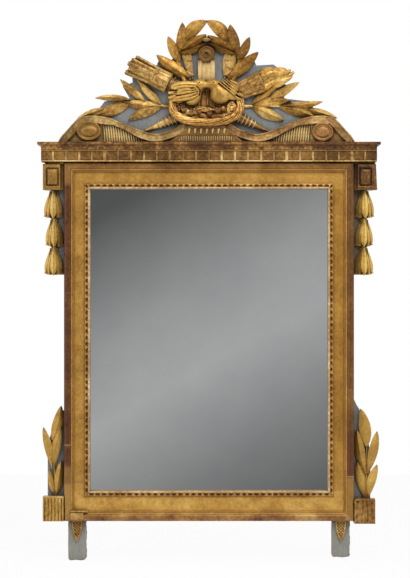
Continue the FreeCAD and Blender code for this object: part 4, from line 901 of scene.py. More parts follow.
class Block:
    """Wood to carve: signed distances on a grid over (x, d, z), negative inside."""

    def __init__(self, low, high, step=0.8):
        self.low = np.array(low, float)
        self.step = step
        self.far = 3 * step
        counts = np.ceil((np.array(high, float) - self.low) / step).astype(int) + 1
        self.field = np.full(counts, self.far, np.float32)

    def window(self, low, high):
        """Part of the grid between two corners, and the places of its points."""
        first = np.clip(np.floor((np.array(low) - self.low) / self.step).astype(int), 0, self.field.shape)
        last = np.clip(np.ceil((np.array(high) - self.low) / self.step).astype(int) + 1, 0, self.field.shape)
        part = tuple(slice(a, b) for a, b in zip(first, last))
        axes = [self.low[i] + self.step * np.arange(first[i], last[i]) for i in range(3)]
        return part, np.meshgrid(*axes, indexing="ij", sparse=True)

    def add(self, low, high, distance, blend=0.0):
        part, place = self.window(np.array(low) - self.far, np.array(high) + self.far)
        self.field[part] = smooth_least(self.field[part], distance(*place), blend)

    def cut(self, low, high, distance, blend=0.0):
        part, place = self.window(np.array(low) - self.far, np.array(high) + self.far)
        self.field[part] = -smooth_least(-self.field[part], distance(*place), blend)

    def rod(self, start, end, first, last=None, blend=0.0, cut=False):
        """Rod with round ends, its radius going from first to last."""
        a, b = np.array(start, float), np.array(end, float)
        last = first if last is None else last
        reach = max(first, last) + blend
        along = b - a
        square = max(float(along @ along), 1e-9)

        def distance(x, d, z):
            ahead = (x - a[0]) * along[0] + (d - a[1]) * along[1] + (z - a[2]) * along[2]
            share = np.clip(ahead / square, 0, 1)
            apart = (x - a[0] - share * along[0]) ** 2 + (d - a[1] - share * along[1]) ** 2
            apart = apart + (z - a[2] - share * along[2]) ** 2
            return np.sqrt(apart) - (first + (last - first) * share)

        (self.cut if cut else self.add)(np.minimum(a, b) - reach, np.maximum(a, b) + reach, distance, blend)

    def egg(self, centre, radii, lean=0.0, blend=0.0, cut=False):
        """Ellipsoid, turned by lean degrees in the plane of the crest."""
        c, r = np.array(centre, float), np.array(radii, float)
        cos, sin = math.cos(math.radians(lean)), math.sin(math.radians(lean))
        reach = r.max() + blend

        def distance(x, d, z):
            p = (x - c[0]) * cos + (z - c[2]) * sin
            q = (z - c[2]) * cos - (x - c[0]) * sin
            y = d - c[1]
            near = np.sqrt((p / r[0]) ** 2 + (y / r[1]) ** 2 + (q / r[2]) ** 2)
            slope = np.sqrt((p / r[0] ** 2) ** 2 + (y / r[1] ** 2) ** 2 + (q / r[2] ** 2) ** 2)
            return near * (near - 1) / np.maximum(slope, 1e-6)

        (self.cut if cut else self.add)(c - reach, c + reach, distance, blend)

    def score(self, path, depth, width):
        """Cuts a groove of even depth over the front along a path of (u, v) in the crest."""
        axes = [low + self.step * np.arange(count) for low, count in zip(self.low, self.field.shape)]
        groove = np.exp(-((apart(axes[0][:, None], axes[2][None, :], path) / width) ** 2))
        self.field += (depth * groove[:, None, :]).astype(np.float32)

    def trim(self, level):
        """Cuts everything behind a depth off, which leaves a flat back."""
        depth = self.low[1] + self.step * np.arange(self.field.shape[1])
        self.field = np.maximum(self.field, (level - depth)[None, :, None].astype(np.float32))

    def make(self, name, slot, materials, *nodes, coarse=0.05):
        """Closes the solid into a mesh and makes it an object."""
        self.field[[0, -1]] = self.far
        self.field[:, [0, -1]] = self.far
        self.field[:, :, [0, -1]] = self.far
        grid = openvdb.FloatGrid(self.far)
        grid.copyFromArray(np.clip(self.field, -self.far, self.far).astype(np.float32))
        points, threes, fours = grid.convertToPolygons(0.0, coarse)
        piece = Carved()
        piece.shell(self.low + points * self.step, [*map(tuple, threes), *map(tuple, fours)])
        return piece.make(name, slot, materials, *nodes, sharp=60.0)


# Doves and nest

DOVE_DEPTH = 43.0
DOVE_BACK = 33.0
FEATHER_CUT = 2.2
FEATHER_LINE = 1.1
DOVE_HEAD = (14, 110.5)
DOVE_BEAK = (0.5, 109)
# Trunk of each dove, as eggs: centre in the crest, half-axes, lean in degrees and blend
DOVE_TRUNKS = {
    "left": (((42, 92), (30, 8.5, 14.0), 6, 0), ((29, 88.5), (17.5, 12.5, 19.5), 0, 4)),
    "right": (((43, 97), (25, 9.0, 14), -38, 0), ((28, 89), (20.5, 13.0, 17.5), 0, 3)),
}
# Rows of feathers: root, tip and width of each in the crest, then the row's depth and half thickness
WINGS = {
    "left": (
        ((((-46, 101), (-71, 102), 12), ((-46, 94), (-76, 93), 12), ((-48, 87), (-76, 83), 12)), 44.5, 5.0),
        ((((-18, 99), (-61, 91), 17), ((-15, 92), (-67, 76.5), 18)), 50.0, 6.0),
        ((((-20, 109), (-70, 103.5), 19),), 52.0, 6.2),
    ),
    "right": (
        ((((50, 96), (74, 86), 9), ((48, 90), (70, 79), 9)), 46.0, 5.0),
        ((((50, 115), (64, 108), 8), ((45, 118), (65, 102), 8), ((39, 119.5), (64, 97), 8),
          ((33, 120), (62, 92), 8), ((27, 119.5), (60, 88), 8), ((21, 118.5), (58, 85), 8.5)), 51.0, 5.6),
    ),
}
# Lines cut between the feathers, in the crest
FEATHER_LINES = {
    "left": (
        ((-20, 105), (-15.5, 101), (-13, 96), (-14, 88.6)),
        ((-24, 106.5), (-43, 107.6), (-58, 106), (-67, 103)),
        ((-22, 101.5), (-43, 102), (-55, 100), (-62, 97)),
        ((-20, 97.7), (-40, 96.1), (-53, 93.2), (-64, 93)),
        ((-18, 94.5), (-33, 91.1), (-46.5, 88.6), (-59, 86.8)),
        ((-16.5, 90.5), (-30, 85.3), (-46.5, 82), (-64, 79)),
        ((-14, 88.6), (-23, 81), (-40, 76.2), (-66, 74)),
        ((-66, 98.5), (-77, 97)), ((-62, 90), (-77, 88)),
    ),
    "right": (
        ((24, 111), (35, 102.5), (48, 92), (58, 83)), ((23, 118), (38, 106), (52, 95), (62, 87)),
        ((29, 119.5), (42, 109), (54, 99), (64, 92)), ((35, 120), (46, 111.5), (57, 103), (65, 97)),
        ((42, 119), (50, 113), (60, 106), (66, 102)), ((56, 88), (72, 82)),
    ),
}


def feather(block, root, tip, width, d, thick):
    """One long feather: a flat egg from its root to its tip."""
    run = (tip[0] - root[0], tip[1] - root[1])
    centre = at((root[0] + tip[0]) / 2, (root[1] + tip[1]) / 2, d)
    block.egg(centre, (math.hypot(*run) / 2 + 1, thick, width / 2), math.degrees(math.atan2(run[1], run[0])))


def dove(side):
    """Dove with its beak to the other's: the left one shows its wing, the right one its breast."""
    sign = SIDES[side]
    ends = sorted((sign * 86, -sign * 6))
    block = Block(at(ends[0], 64, 31), at(ends[1], 128, 61), 0.65)

    def spot(u, v, d):
        return at(sign * u, v, d)

    for centre, radii, lean, blend in DOVE_TRUNKS[side]:
        block.egg(spot(*centre, DOVE_DEPTH), radii, lean, blend)
    block.rod(spot(24, 98, DOVE_DEPTH), spot(15, 108, DOVE_DEPTH + 1), 11.5, 10.0, 6)
    block.egg(spot(*DOVE_HEAD, DOVE_DEPTH + 3), (12.5, 9.5, 9.2), -8 * sign, 3)
    block.rod(spot(9, 109.5, DOVE_DEPTH + 4), spot(*DOVE_BEAK, DOVE_DEPTH + 4), 7.6, 6.0, 2.0)
    block.rod(spot(0, 106.6, DOVE_DEPTH + 10), spot(7, 107.6, DOVE_DEPTH + 11), 0.7, cut=True)
    block.egg(spot(14.5, 112.6, DOVE_DEPTH + 12.4), (1.8, 1.6, 1.6), 0, 0.3, cut=True)
    for feathers, d, thick in WINGS[side]:
        for count, (root, tip, width) in enumerate(feathers):
            feather(block, root, tip, width, d - 0.6 * count, thick)
    for path in FEATHER_LINES[side]:
        block.score(smooth_path(path), FEATHER_CUT, FEATHER_LINE)
    block.trim(DOVE_BACK)
    block.make(f"{side}_dove_carved", "gilding", [f"{side}_dove"], f"{side}_dove", coarse=0.03)


NEST_HALF = 77.0
NEST_FOOT = 28.0
NEST_TOP = 84.0
NEST_STRANDS = 8
NEST_SPAN = 2.05
NEST_TWIGS = 120
NEST_STRAWS = 60
NEST_STALKS = 16
NEST_SEED = 11
WHORL_PLACE = (50, 62, 44)
WHORL_RADII = (5, 9, 13)
BUD_PLACE = (33, 63, 46)
# Steps along a strand, a twig and a turn of the rolled leaf
NEST_STEPS = 90
TWIG_STEPS = 6
WHORL_STEPS = 20
# Flower cups in the nest: u, v, depth, size
NEST_FLOWERS = (
    (-46, 58, 44, 5.5), (-30, 50, 47, 5), (-14, 54, 46, 4.5), (6, 50, 48, 5), (22, 55, 46, 5),
    (-60, 70, 40, 5),
)
NEST_GRAIN = 0.75
NEST_BACK = CREST_FRONT + 0.6
# Corners of the room for what lies inside the ring
NEST_ROOM = at(-NEST_HALF + 4, NEST_FOOT + 2, 20), at(NEST_HALF - 4, NEST_TOP + 24, 56)


def nest_ring(angle, out=0.0):
    """Place on the nest's ring: its bottom at angle 0, its right side at a quarter turn."""
    across, down = math.sin(angle), math.cos(angle)
    u = (NEST_HALF - 9 + out) * math.copysign(abs(across) ** 0.86, across)
    v = 69 - (35 + out) * math.copysign(abs(down) ** 0.8, down)
    return u, v, 32 + 15 * max(0.0, math.cos(angle * 0.62))


def nest_rim():
    """Long strands wound round a core."""
    block = Block(at(-NEST_HALF - 2, NEST_FOOT - 5, 20), at(NEST_HALF + 2, NEST_TOP + 16, 61), NEST_GRAIN)
    for strand in range(-1, NEST_STRANDS):
        before = None
        for step in range(NEST_STEPS + 1):
            angle = (step / NEST_STEPS * 2 - 1) * NEST_SPAN
            turn = step * 0.1 + strand * 2 * math.pi / NEST_STRANDS
            aside, radius = 5.6, 2.1 + 0.8 * math.sin(step * 0.21 + strand * 2)
            if strand < 0:
                aside, radius = 0.0, 4.4
            u, v, d = nest_ring(angle, aside * math.cos(turn))
            here = at(u, v, d + 0.9 * aside * math.sin(turn))
            if before is not None:
                block.rod(before, here, radius)
            before = here
    block.trim(NEST_BACK)
    block.make("nest_woven", "gilding", ["nest"], "nest", coarse=0.1)


def strew(block, draw, count, low, high, forward, bow):
    """Bent twigs strewn inside the ring, from low to high inward of it; bow is how far they run round it."""
    for _ in range(count):
        angle = draw.uniform(-2.2, 2.2)
        drift = draw.uniform(*bow)
        inward = draw.uniform(low, high)
        before = None
        for step in range(TWIG_STEPS + 1):
            share = step / TWIG_STEPS - 0.5
            u, v, d = nest_ring(angle + share * drift, inward + 5 * share)
            bowl = 28 - 0.002 * u * u
            here = at(u, v, max(bowl, d - 2 + 0.4 * inward) + forward + draw.uniform(-0.8, 0.8))
            if before is not None:
                block.rod(before, here, draw.uniform(1.0, 1.8))
            before = here


def nest_floor(draw):
    """Hollow of the nest, darkened with a painted shade, with twigs, stalks that hang from its top and small
    flowers.
    """
    block = Block(*NEST_ROOM, NEST_GRAIN)
    block.egg(at(0, 66, 17), (66, 11.5, 40), 0)
    block.egg(at(0, 92, 17), (15, 9, 16), 0, 3)
    strew(block, draw, NEST_TWIGS, -36, -7, 0.0, (0.12, 0.5))
    for _ in range(NEST_STALKS):
        u, foot = draw.uniform(-15, 15), draw.uniform(56, 74)
        block.rod(at(u, 104, 26), at(u + draw.uniform(-7, 7), foot, 29.5), 1.2, 1.8)
    for u, v, d, size in NEST_FLOWERS:
        block.rod(at(u, v - 5, d - 6), at(u, v + 3, d), size * 0.5, size, 0.8)
        block.egg(at(u, v + 5, d + 2.5), (size * 0.7, size * 0.8, size * 0.7), 0, 0.5, cut=True)
    block.trim(NEST_BACK)
    block.make("nest_floor", "gilding", ["nest_painted_shade"], coarse=0.1)


def nest_straw(draw):
    """Bright straw over the floor, with a rolled leaf and a bud."""
    block = Block(*NEST_ROOM, NEST_GRAIN)
    strew(block, draw, NEST_STRAWS, -30, -6, 1.0, (0.3, 0.8))
    u, v, d = WHORL_PLACE
    turns = [2 * math.pi * step / WHORL_STEPS for step in range(WHORL_STEPS + 1)]
    for out in WHORL_RADII:
        places = [at(u + 0.62 * out * math.sin(a), v + out * math.cos(a), d - out * 0.2) for a in turns]
        for ends in zip(places, places[1:]):
            block.rod(*ends, 1.4)
    block.egg(at(u, v, d), (4, 3, 6), 0)
    u, v, d = BUD_PLACE
    block.rod(at(u, v - 6, d - 6), at(u, v, d), 2.2, 3.6)
    block.trim(NEST_BACK)
    block.make("nest_straw", "gilding", ["nest"], coarse=0.1)


def nest():
    """The nest, with all its straw from one run of random numbers."""
    draw = np.random.default_rng(NEST_SEED)
    nest_rim()
    nest_floor(draw)
    nest_straw(draw)


# Quiver and torch

QUIVER_ENDS = ((-158, 153.5), (125, 16.5))
TORCH_ENDS = ((172, 142), (-124, 18))
STAFF_DEPTH = 36.0
STAFF_BACK = CREST_FRONT + 0.4
FACETS = 5
# Arrows of the quiver: side, depth, how far its end falls short
ARROW_LANES = ((-15, 31, 2), (-7.6, 38, 5), (0, 41, 0), (7.6, 38, 3), (15, 31, 8), (-3, 32, 10))
ARROW_SPREAD = 1.16
CASE_RADIUS = 16.0
CASE_END = 112.0
# Rings of the quiver: reach along it, half width, thickness
QUIVER_HOOPS = ((63.0, 19.6, 1.6), (90.0, 19.6, 1.7), (99.0, 16.6, 1.4))
FERRULE_LENGTH = 78.0
FERRULE_RINGS = 7
FERRULE_STEP = 8.0
FERRULE_WIDE = 15.0
FERRULE_POINT = 2.6


class Staff:
    """Straight run of the crest from a head to a foot, to place turned work on."""

    def __init__(self, ends):
        self.head = np.array(ends[0], float)
        run = np.array(ends[1], float) - self.head
        self.length = np.linalg.norm(run)
        self.along = run / self.length
        self.across = np.array((-self.along[1], self.along[0]))

    def spot(self, reach, side=0.0, d=STAFF_DEPTH):
        return at(*(self.head + self.along * reach + self.across * side), d)

    def hoop(self, block, reach, wide, thick, level=30.0, bow=0.0):
        """Raised ring round the front of the staff; bow carries its middle towards the foot."""
        angles = [math.pi * turn / 14 for turn in range(15)]
        for first, last in zip(angles, angles[1:]):
            ends = [
                self.spot(reach + bow * math.sin(a), wide * math.cos(a), level + (wide - 1) * math.sin(a))
                for a in (first, last)
            ]
            block.rod(*ends, thick)

    def shank(self, block, start):
        """Thin part of the staff that runs behind the nest to the ferrule."""
        block.rod(self.spot(start, 0, 22.5), self.spot(self.length - FERRULE_LENGTH, 0, 22.5), 4.2)

    def ferrule(self, block):
        """Pointed foot of the staff, a flattened cone."""
        start = self.length - FERRULE_LENGTH
        ends = self.spot(start - 14, 0, 23), self.spot(self.length - 4, 0, 26)
        block.rod(*ends, FERRULE_WIDE, FERRULE_POINT)

    def rings(self, block):
        """Thin rings round the ferrule; its point is left smooth."""
        start = self.length - FERRULE_LENGTH
        for ring in range(FERRULE_RINGS):
            reach = start - 4 + ring * FERRULE_STEP
            share = (reach - start + 14) / (FERRULE_LENGTH + 10)
            wide = FERRULE_WIDE - (FERRULE_WIDE - FERRULE_POINT) * share
            self.hoop(block, reach, wide + 0.5, 1.3, 23 + 3 * share, 1.5)


def facets(wide, deep):
    """Side and depth of the five lanes round the front of a staff that make its facets."""
    for lane in range(FACETS):
        angle = math.pi * (lane + 0.5) / FACETS
        yield wide * math.cos(angle), 29 + deep * math.sin(angle)


def quiver():
    """Quiver: a ragged bundle of thick arrows, a broad collar, a slim ring, the case and its ferrule."""
    staff = Staff(QUIVER_ENDS)
    block = Block(at(-180, 10, 20), at(130, 180, 58), 0.8)
    for side, d, ragged in ARROW_LANES:
        head, out = ragged + 5, side * ARROW_SPREAD
        block.rod(staff.spot(head, out, d), staff.spot(66, side, d), 5.0, 4.4)
        block.rod(staff.spot(head, out + 1.5, d + 1.4), staff.spot(63, side + 1.5, d + 1.2), 4.0, 3.6)
    for side, d, ragged in ARROW_LANES:
        notch = [staff.spot(ragged, side * ARROW_SPREAD, d + reach) for reach in (-9, 9)]
        block.rod(*notch, 2.0, cut=True)
    for side, d in facets(15.0, 14):
        block.rod(staff.spot(63, side, d), staff.spot(88, side, d - 0.5), 6.2, 6.2, 2.5)
    for reach, wide, thick in QUIVER_HOOPS:
        staff.hoop(block, reach, wide, thick)
    block.rod(staff.spot(64, 0, 30), staff.spot(CASE_END, 0, 28), CASE_RADIUS, CASE_RADIUS - 3)
    staff.shank(block, CASE_END)
    staff.ferrule(block)
    block.trim(STAFF_BACK)
    block.make("quiver_carved", "gilding", ["quiver"], "quiver", coarse=0.1)


# Tongues of the flame: side at its root, side and reach of its tip, radius, turn of its swirl
FLAME_TONGUES = (
    (-13, -9, 15, 9.0, -5), (-5, -3, 6, 9.5, -6), (4, 4, 1, 9.5, -5), (12, 11, 8, 9.0, -4),
    (14, 19, 27, 7.0, -2),
)
FLAME_ROOT = 66.0
FLAME_LEAN = 22.7
FLAME_STEPS = 12
CUP_END = 126.0


def flame(tongue, share):
    """Place of a tongue of flame at a share of its length, as reach, side and depth, and its radius there."""
    number, (root, side, reach, radius, swirl) = tongue
    across = root + (side - root) * share + swirl * math.sin(share * 1.8 * math.pi) * (0.5 + share * 0.5)
    run = FLAME_ROOT + (reach - FLAME_ROOT) * share
    d = 30 + (number % 2) * 3.5 + 4 * math.sin(share * 3 + number)
    return run, across, d, radius * (1.0 - 0.7 * share ** 2.5)


def torch_flame(staff):
    """Swirling tongues over a low core."""
    block = Block(at(80, 88, 20), at(194, 176, 60), 0.7)
    shares = [step / FLAME_STEPS for step in range(FLAME_STEPS + 1)]
    block.egg(staff.spot(40, 0, 30), (30, 9, 17), FLAME_LEAN)
    for tongue in enumerate(FLAME_TONGUES):
        for pair in zip(shares, shares[1:]):
            ends = [flame(tongue, share) for share in pair]
            block.rod(*(staff.spot(*end[:3]) for end in ends), ends[0][3], ends[1][3])
    block.trim(STAFF_BACK)
    block.make("torch_flame", "gilding", ["flame"], coarse=0.05)


def torch():
    """Torch: a flame over a cup of broad facets, with the same ferrule as the quiver."""
    staff = Staff(TORCH_ENDS)
    torch_flame(staff)
    block = Block(at(-132, 10, 20), at(150, 150, 60), 0.8)
    for side, d in facets(13.5, 12):
        ends = staff.spot(FLAME_ROOT + 4, side * 1.2, d + 1.6), staff.spot(CUP_END, side * 0.84, d - 2)
        block.rod(*ends, 6.4, 5.0, 0.6)
    staff.hoop(block, FLAME_ROOT + 2, 20.0, 2.2)
    staff.hoop(block, CUP_END + 1, 15.6, 1.8)
    staff.shank(block, CUP_END)
    staff.ferrule(block)
    block.trim(STAFF_BACK)
    block.make("torch_carved", "gilding", ["torch"], "torch", coarse=0.1)


def ferrule_rings():
    """Rings of both ferrules, worn to the pale ground."""
    block = Block(at(-136, 8, 20), at(136, 74, 44), 0.7)
    for ends in (QUIVER_ENDS, TORCH_ENDS):
        Staff(ends).rings(block)
    block.trim(STAFF_BACK)
    block.make("ferrule_rings", "gilding", ["ring"], coarse=0.05)


# Scrolls, flutes, bosses and pedestal of the crest

CREST_FOOT = -5.0
SCROLL_FRONT = 40.0
SCROLL_WIDTH = 17.0
SCROLL_FIELD = 33.0
# Right scroll: its upper and inner outline, and the outline of the hollow under it
SCROLL_TOP = (
    (297, -5), (291, 6), (279, 19), (257, 43), (243, 47.5), (225, 48.5), (206, 46.5), (188, 42), (162, 31),
    (136, 21), (122, 16), (108, 12.5), (93, 13), (79, 17), (61, 24), (46, 36),
)
SCROLL_INNER = ((36, 28), (43, 20), (52, 13), (62, 4), (74, -5))
HOLLOW = ((112, -5), (128, 1), (143, 8), (165, 20), (186, 29), (208, 31), (208, CREST_FOOT))
FLUTE_PITCH = 4.9
FLUTE_FRONT = 31.5


def sided(path, side):
    return [(SIDES[side] * u, v) for u, v in path]


def scroll_band(side):
    """Wave scroll: a hollowed band with a fillet along each edge, over a sunk field round the boss."""
    top = sided(smooth_path(SCROLL_TOP, 3), side)
    inner = sided(SCROLL_INNER, side)
    hollow = sided(HOLLOW, side)
    ends = sorted((SIDES[side] * 30, SIDES[side] * 300))
    block = Block(at(ends[0], CREST_FOOT - 3, 20), at(ends[1], 53, 44), 0.8)

    def distance(x, d, z):
        within = np.maximum(area(x, z, top + inner), -area(x, z, hollow))
        away = apart(x, z, top)
        fillet = np.exp(-((away - 2.2) / 1.5) ** 2) + np.exp(-((away - SCROLL_WIDTH + 1.8) / 1.4) ** 2)
        swell = np.clip(1 - ((away - SCROLL_WIDTH / 2) / (SCROLL_WIDTH / 2)) ** 2, 0, 1)
        band = SCROLL_FRONT - 3.2 + 2.9 * np.clip(fillet, 0, 1) + 1.3 * swell
        front = np.where(away < SCROLL_WIDTH, band, SCROLL_FIELD + 0 * band)
        return relief(within, d, front, CREST_FRONT, 0.8)

    block.add(at(ends[0], CREST_FOOT, 22), at(ends[1], 51, 42), distance)
    block.make(f"{side}_scroll_carved", "pale_gilding", [f"{side}_scroll"], f"{side}_scroll_band")


def flute_panel(side):
    """Reeds with narrow dark lines between them, in the hollow under a scroll."""
    hollow = sided(HOLLOW, side)
    ends = sorted((SIDES[side] * 110, SIDES[side] * 210))
    block = Block(at(ends[0] - 3, CREST_FOOT - 3, 20), at(ends[1] + 3, 35, 36), 0.7)

    def distance(x, d, z):
        lean = (z - CORNICE_TOP) * 0.10 * SIDES[side]
        wave = (x - lean) / FLUTE_PITCH * np.pi
        reed = np.abs(np.sin(wave)) ** 0.45
        front = FLUTE_FRONT - 3.6 * (1 - reed)
        return relief(area(x, z, hollow), d, front, CREST_FRONT)

    block.add(at(ends[0], CREST_FOOT, 22), at(ends[1], 32, 34), distance)
    block.make(f"{side}_flutes", "gilding", ["cream"], f"{side}_flute_panel")


# Bosses of the scrolls: centre, half-axes of the rim and of the disc inside it
BOSSES = {"left": ((-235, 17.5), (24.5, 20), (17.5, 11.5)), "right": ((232, 15.5), (21.5, 19), (14.5, 11.0))}


def boss(side):
    """Oval boss: a rim round a sunk ring and a low disc."""
    (u, v), rim, disc = BOSSES[side]
    block = Block(at(u - 28, CREST_FOOT - 2, 36), at(u + 28, v + 24, 50), 0.6)
    x0, z0 = in_crest(u, v)

    def distance(x, d, z):
        out = np.hypot((x - x0) / rim[0], (z - z0) / rim[1])
        core = np.hypot((x - x0) / disc[0], (z - z0) / disc[1])
        ring = np.exp(-(((out - 0.90) * rim[1] / 1.9) ** 2))
        dome = np.sqrt(np.clip(1.02 - core ** 2, 0, 1))
        dish = 1.8 * np.exp(-((core / 0.55) ** 2)) if side == "right" else 0
        front = SCROLL_FIELD + 4.2 + 3.8 * ring + 4.4 * dome - dish
        edge = np.maximum((out - 1) * rim[1], in_crest(0, CREST_FOOT)[1] + 0.6 - z)
        return relief(edge, d, front, SCROLL_FIELD - 1, 0.75)

    block.add(at(u - 26, CREST_FOOT, SCROLL_FIELD), at(u + 26, v + 22, 48), distance)
    block.make(f"{side}_boss", "gilding", [f"{side}_boss"], f"{side}_patera")


PEDESTAL_FRONT = 46.0
PEDESTAL_BEADS = 7
PEDESTAL_REEDS = 25
# Right edge of the pedestal from its foot up, and the heights of the sunk rows for the drops and the reeds
PEDESTAL_EDGE = ((74, CREST_FOOT), (52, 13), (36, 28))
BEAD_ROW = (9.5, 23)
REED_ROW = 8
REED_TOP = 6.5
# First and last of the drops and of the reeds, across the pedestal
BEAD_SPAN = (-34, 36)
REED_SPAN = (-54, 54)
# Corners of the room for the drops and the reeds, and the depth that the reeds lie at
TRIM_ROOM = at(-60, CREST_FOOT, 38), at(60, 28, 50)
TRIM_DEPTH = PEDESTAL_FRONT - 4.8


def pedestal():
    """Stand under the nest: a body with hollow sides, sunk where its drops and reeds lie."""
    block = Block(at(-78, CREST_FOOT - 3, 20), at(78, 32, 50), 0.7)
    right = smooth_path(PEDESTAL_EDGE, 6)
    outline = [tuple(p) for p in right] + [(-u, v) for u, v in reversed(right)]

    def distance(x, d, z):
        v = z - CORNICE_TOP
        beads = (v < BEAD_ROW[1]) & (v > BEAD_ROW[0])
        front = PEDESTAL_FRONT - 2.6 - 2.4 * beads - 2.0 * (v < REED_ROW)
        return relief(area(x, z, outline), d, front, CREST_FRONT)

    block.add(at(-76, CREST_FOOT, 22), at(76, 29, 48), distance)
    block.make("pedestal_body", "pale_gilding", ["pedestal"], "pedestal")


def spaced(span, count):
    """Places at even distances, from the first to the last."""
    first, last = span
    return [first + (last - first) * number / (count - 1) for number in range(count)]


def pedestal_drops():
    block = Block(*TRIM_ROOM, 0.5)
    for u in spaced(BEAD_SPAN, PEDESTAL_BEADS):
        block.rod(at(u, 20.5, PEDESTAL_FRONT - 4.4), at(u - 1, 13, TRIM_DEPTH), 2.8, 1.6)
    block.make("pedestal_drops", "pale_gilding", ["cream"])


def pedestal_reeds():
    """Reeds along the foot of the pedestal, shorter where its edge slopes."""
    block = Block(*TRIM_ROOM, 0.5)
    for u in spaced(REED_SPAN, PEDESTAL_REEDS):
        high = min(REED_TOP, 13 - (abs(u) - 44) * 1.4)
        block.rod(at(u, high, TRIM_DEPTH), at(u, CREST_FOOT + 2.6, TRIM_DEPTH), 1.6)
    block.make("pedestal_reeds", "pale_gilding", ["trim"])


SHAFT_HALF = 17.0
SHAFT_SPAN = (112.0, 160.0)
SHAFT_FRONT = 36.0
SHAFT_FLUTES = 4
ROUNDEL_CENTRE = (0, 171)
ROUNDEL_RADIUS = 16.5
ROUNDEL_FRONT = 42.0


def shaft():
    """Short fluted shaft behind the doves' heads."""
    block = Block(at(-20, 109, 20), at(20, 163, 40), 0.6)

    def distance(x, d, z):
        across = (x - CREST_SHIFT) / SHAFT_HALF
        cut = np.abs(np.sin((across + 1) * np.pi / 2 * SHAFT_FLUTES)) ** 0.6
        front = SHAFT_FRONT - 3.0 * across ** 2 - 3.4 * cut * (np.abs(across) < 0.99)
        ends = np.maximum(at(0, SHAFT_SPAN[0], 0)[2] - z, z - at(0, SHAFT_SPAN[1], 0)[2])
        sides = np.maximum(np.abs(x - CREST_SHIFT) - SHAFT_HALF, ends)
        return relief(sides, d, front, CREST_FRONT)

    block.add(at(-18, 111, 22), at(18, 161, 37), distance)
    block.make("shaft_fluted", "pale_gilding", ["cream"], "fluted_shaft")


def roundel():
    """Dished roundel on the head of the shaft."""
    block = Block(at(-19, 152, 20), at(19, 190, 46), 0.6)
    x0, z0 = in_crest(*ROUNDEL_CENTRE)

    def distance(x, d, z):
        out = np.hypot(x - x0, z - z0)
        rim = np.exp(-((out - 14.2) / 1.5) ** 2) * 3.2
        ring = np.exp(-((out - 5.2) / 1.6) ** 2) * 2.6
        knob = -2.0 * (out < 3.4)
        front = ROUNDEL_FRONT - 4 + rim + ring + knob
        return relief(out - ROUNDEL_RADIUS, d, front, CREST_FRONT)

    block.add(at(-17, 154, 22), at(17, 188, 44), distance)
    block.make("roundel_dished", "gilding", ["roundel"], "shaft_roundel", coarse=0.0)


# Mouldings of the frame

# Section of the outer moulding: across from its outer edge and depth, then the kind of the face that follows
OUTER_SECTION = (
    (0, 26, 0), (0.2, 33.6, 0), (1.2, 36.2, 0), (3.2, 37.6, 0), (7.0, 38, 0), (11, 37.6, 0), (13.4, 36.2, 0),
    (14.4, 34.2, 1), (14.8, 33.6, 1), (16.4, 33.2, 2), (17.0, 31.4, 2), (17.4, 30.6, 2), (18.2, 31.0, 2),
    (19.0, 30.0, 2), (19.6, 28.2, 2), (20, 26.4, 2), (20, 26.4, 2),
)
# Chips of the outer edge: their size, how rare and how deep they are, and how far in and back they reach
CHIP_SIZE = 9.0
CHIP_START = 0.28
CHIP_DEPTH = 5.0
CHIP_REACH = 13
CHIP_BACK = 30
# The four sides of a frame: the direction inward, as signs in x and z
FRAME_SIDES = {"left": (1, 0), "right": (-1, 0), "top": (0, -1), "bottom": (0, 1)}


def run_of(side, half, low, high, across, share):
    """Point of a mitred strip: a share of the way along it, at a distance in from its outer edge."""
    inward = FRAME_SIDES[side]
    if inward[0]:
        return -inward[0] * (half - across), low + across + (high - low - 2 * across) * share
    return (half - across) * (2 * share - 1), (low if inward[1] > 0 else high) + inward[1] * across


def strip(name, slot, materials, node, frame_of, rows, columns, depth, back):
    """Mitred strip: a grid of depths over its length and width, closed at its back."""
    side, half, low, high = frame_of
    piece = Carved()
    points = []
    for share in rows:
        for across, _ in columns:
            x, z = run_of(side, half, low, high, across, share)
            points.append((x, depth(x, z, across), z))
        for across in (columns[-1][0], columns[0][0]):
            x, z = run_of(side, half, low, high, across, share)
            points.append((x, back, z))
    wide = len(columns) + 2
    faces, kinds = [], []
    for row in range(len(rows) - 1):
        for column in range(wide):
            after = (column + 1) % wide
            here, there = row * wide, (row + 1) * wide
            faces.append((here + column, here + after, there + after, there + column))
            kinds.append(columns[column][1] if column < len(columns) else 0)
    faces.append(tuple(range(wide)))
    faces.append(tuple(range((len(rows) - 1) * wide, len(rows) * wide)))
    kinds += [0, 0]
    piece.shell(points, faces)
    piece.kinds = kinds
    return piece.make(name, slot, materials, node)


def outer_mouldings():
    """Worn band with a pale fillet and a small bead, chipped here and there along its outer edge."""
    section = {across: d for across, d, _ in OUTER_SECTION}

    def depth(x, z, across):
        d = section[across]
        chip = max(0.0, wobble(x, across, z, CHIP_SIZE) - CHIP_START) * CHIP_DEPTH
        chip *= (across < CHIP_REACH) * (d > CHIP_BACK)
        return d - chip + 0.35 * wobble(x, d, z, 16.0) * (d > 27)

    for side in FRAME_SIDES:
        length = 2 * FRAME_HALF if side in ("top", "bottom") else FRAME_TOP - FRAME_BOTTOM
        rows = np.linspace(0, 1, int(length / 3.5))
        columns = [(across, kind) for across, _, kind in OUTER_SECTION[:-1]]
        frame_of = (side, FRAME_HALF, FRAME_BOTTOM, FRAME_TOP)
        strip(
            f"{side}_band", "worn_gilding", [f"{side}_band", "fillet", "bead"], f"{side}_outer_moulding",
            frame_of, rows, columns, depth, CARCASS_DEPTH,
        )


SIGHT_STRIP = 12.0
TIP_PITCH = 12.7
SIGHT_LIP_START = 7.8
SIGHT_COLUMNS = (0, 0.6, 1.2, 1.9, 2.6, 3.3, 4, 4.7, 5.4, 6.1, 6.8, 7.5, 7.8, 8.4, 9.2, 10.2, 11.2, 12)


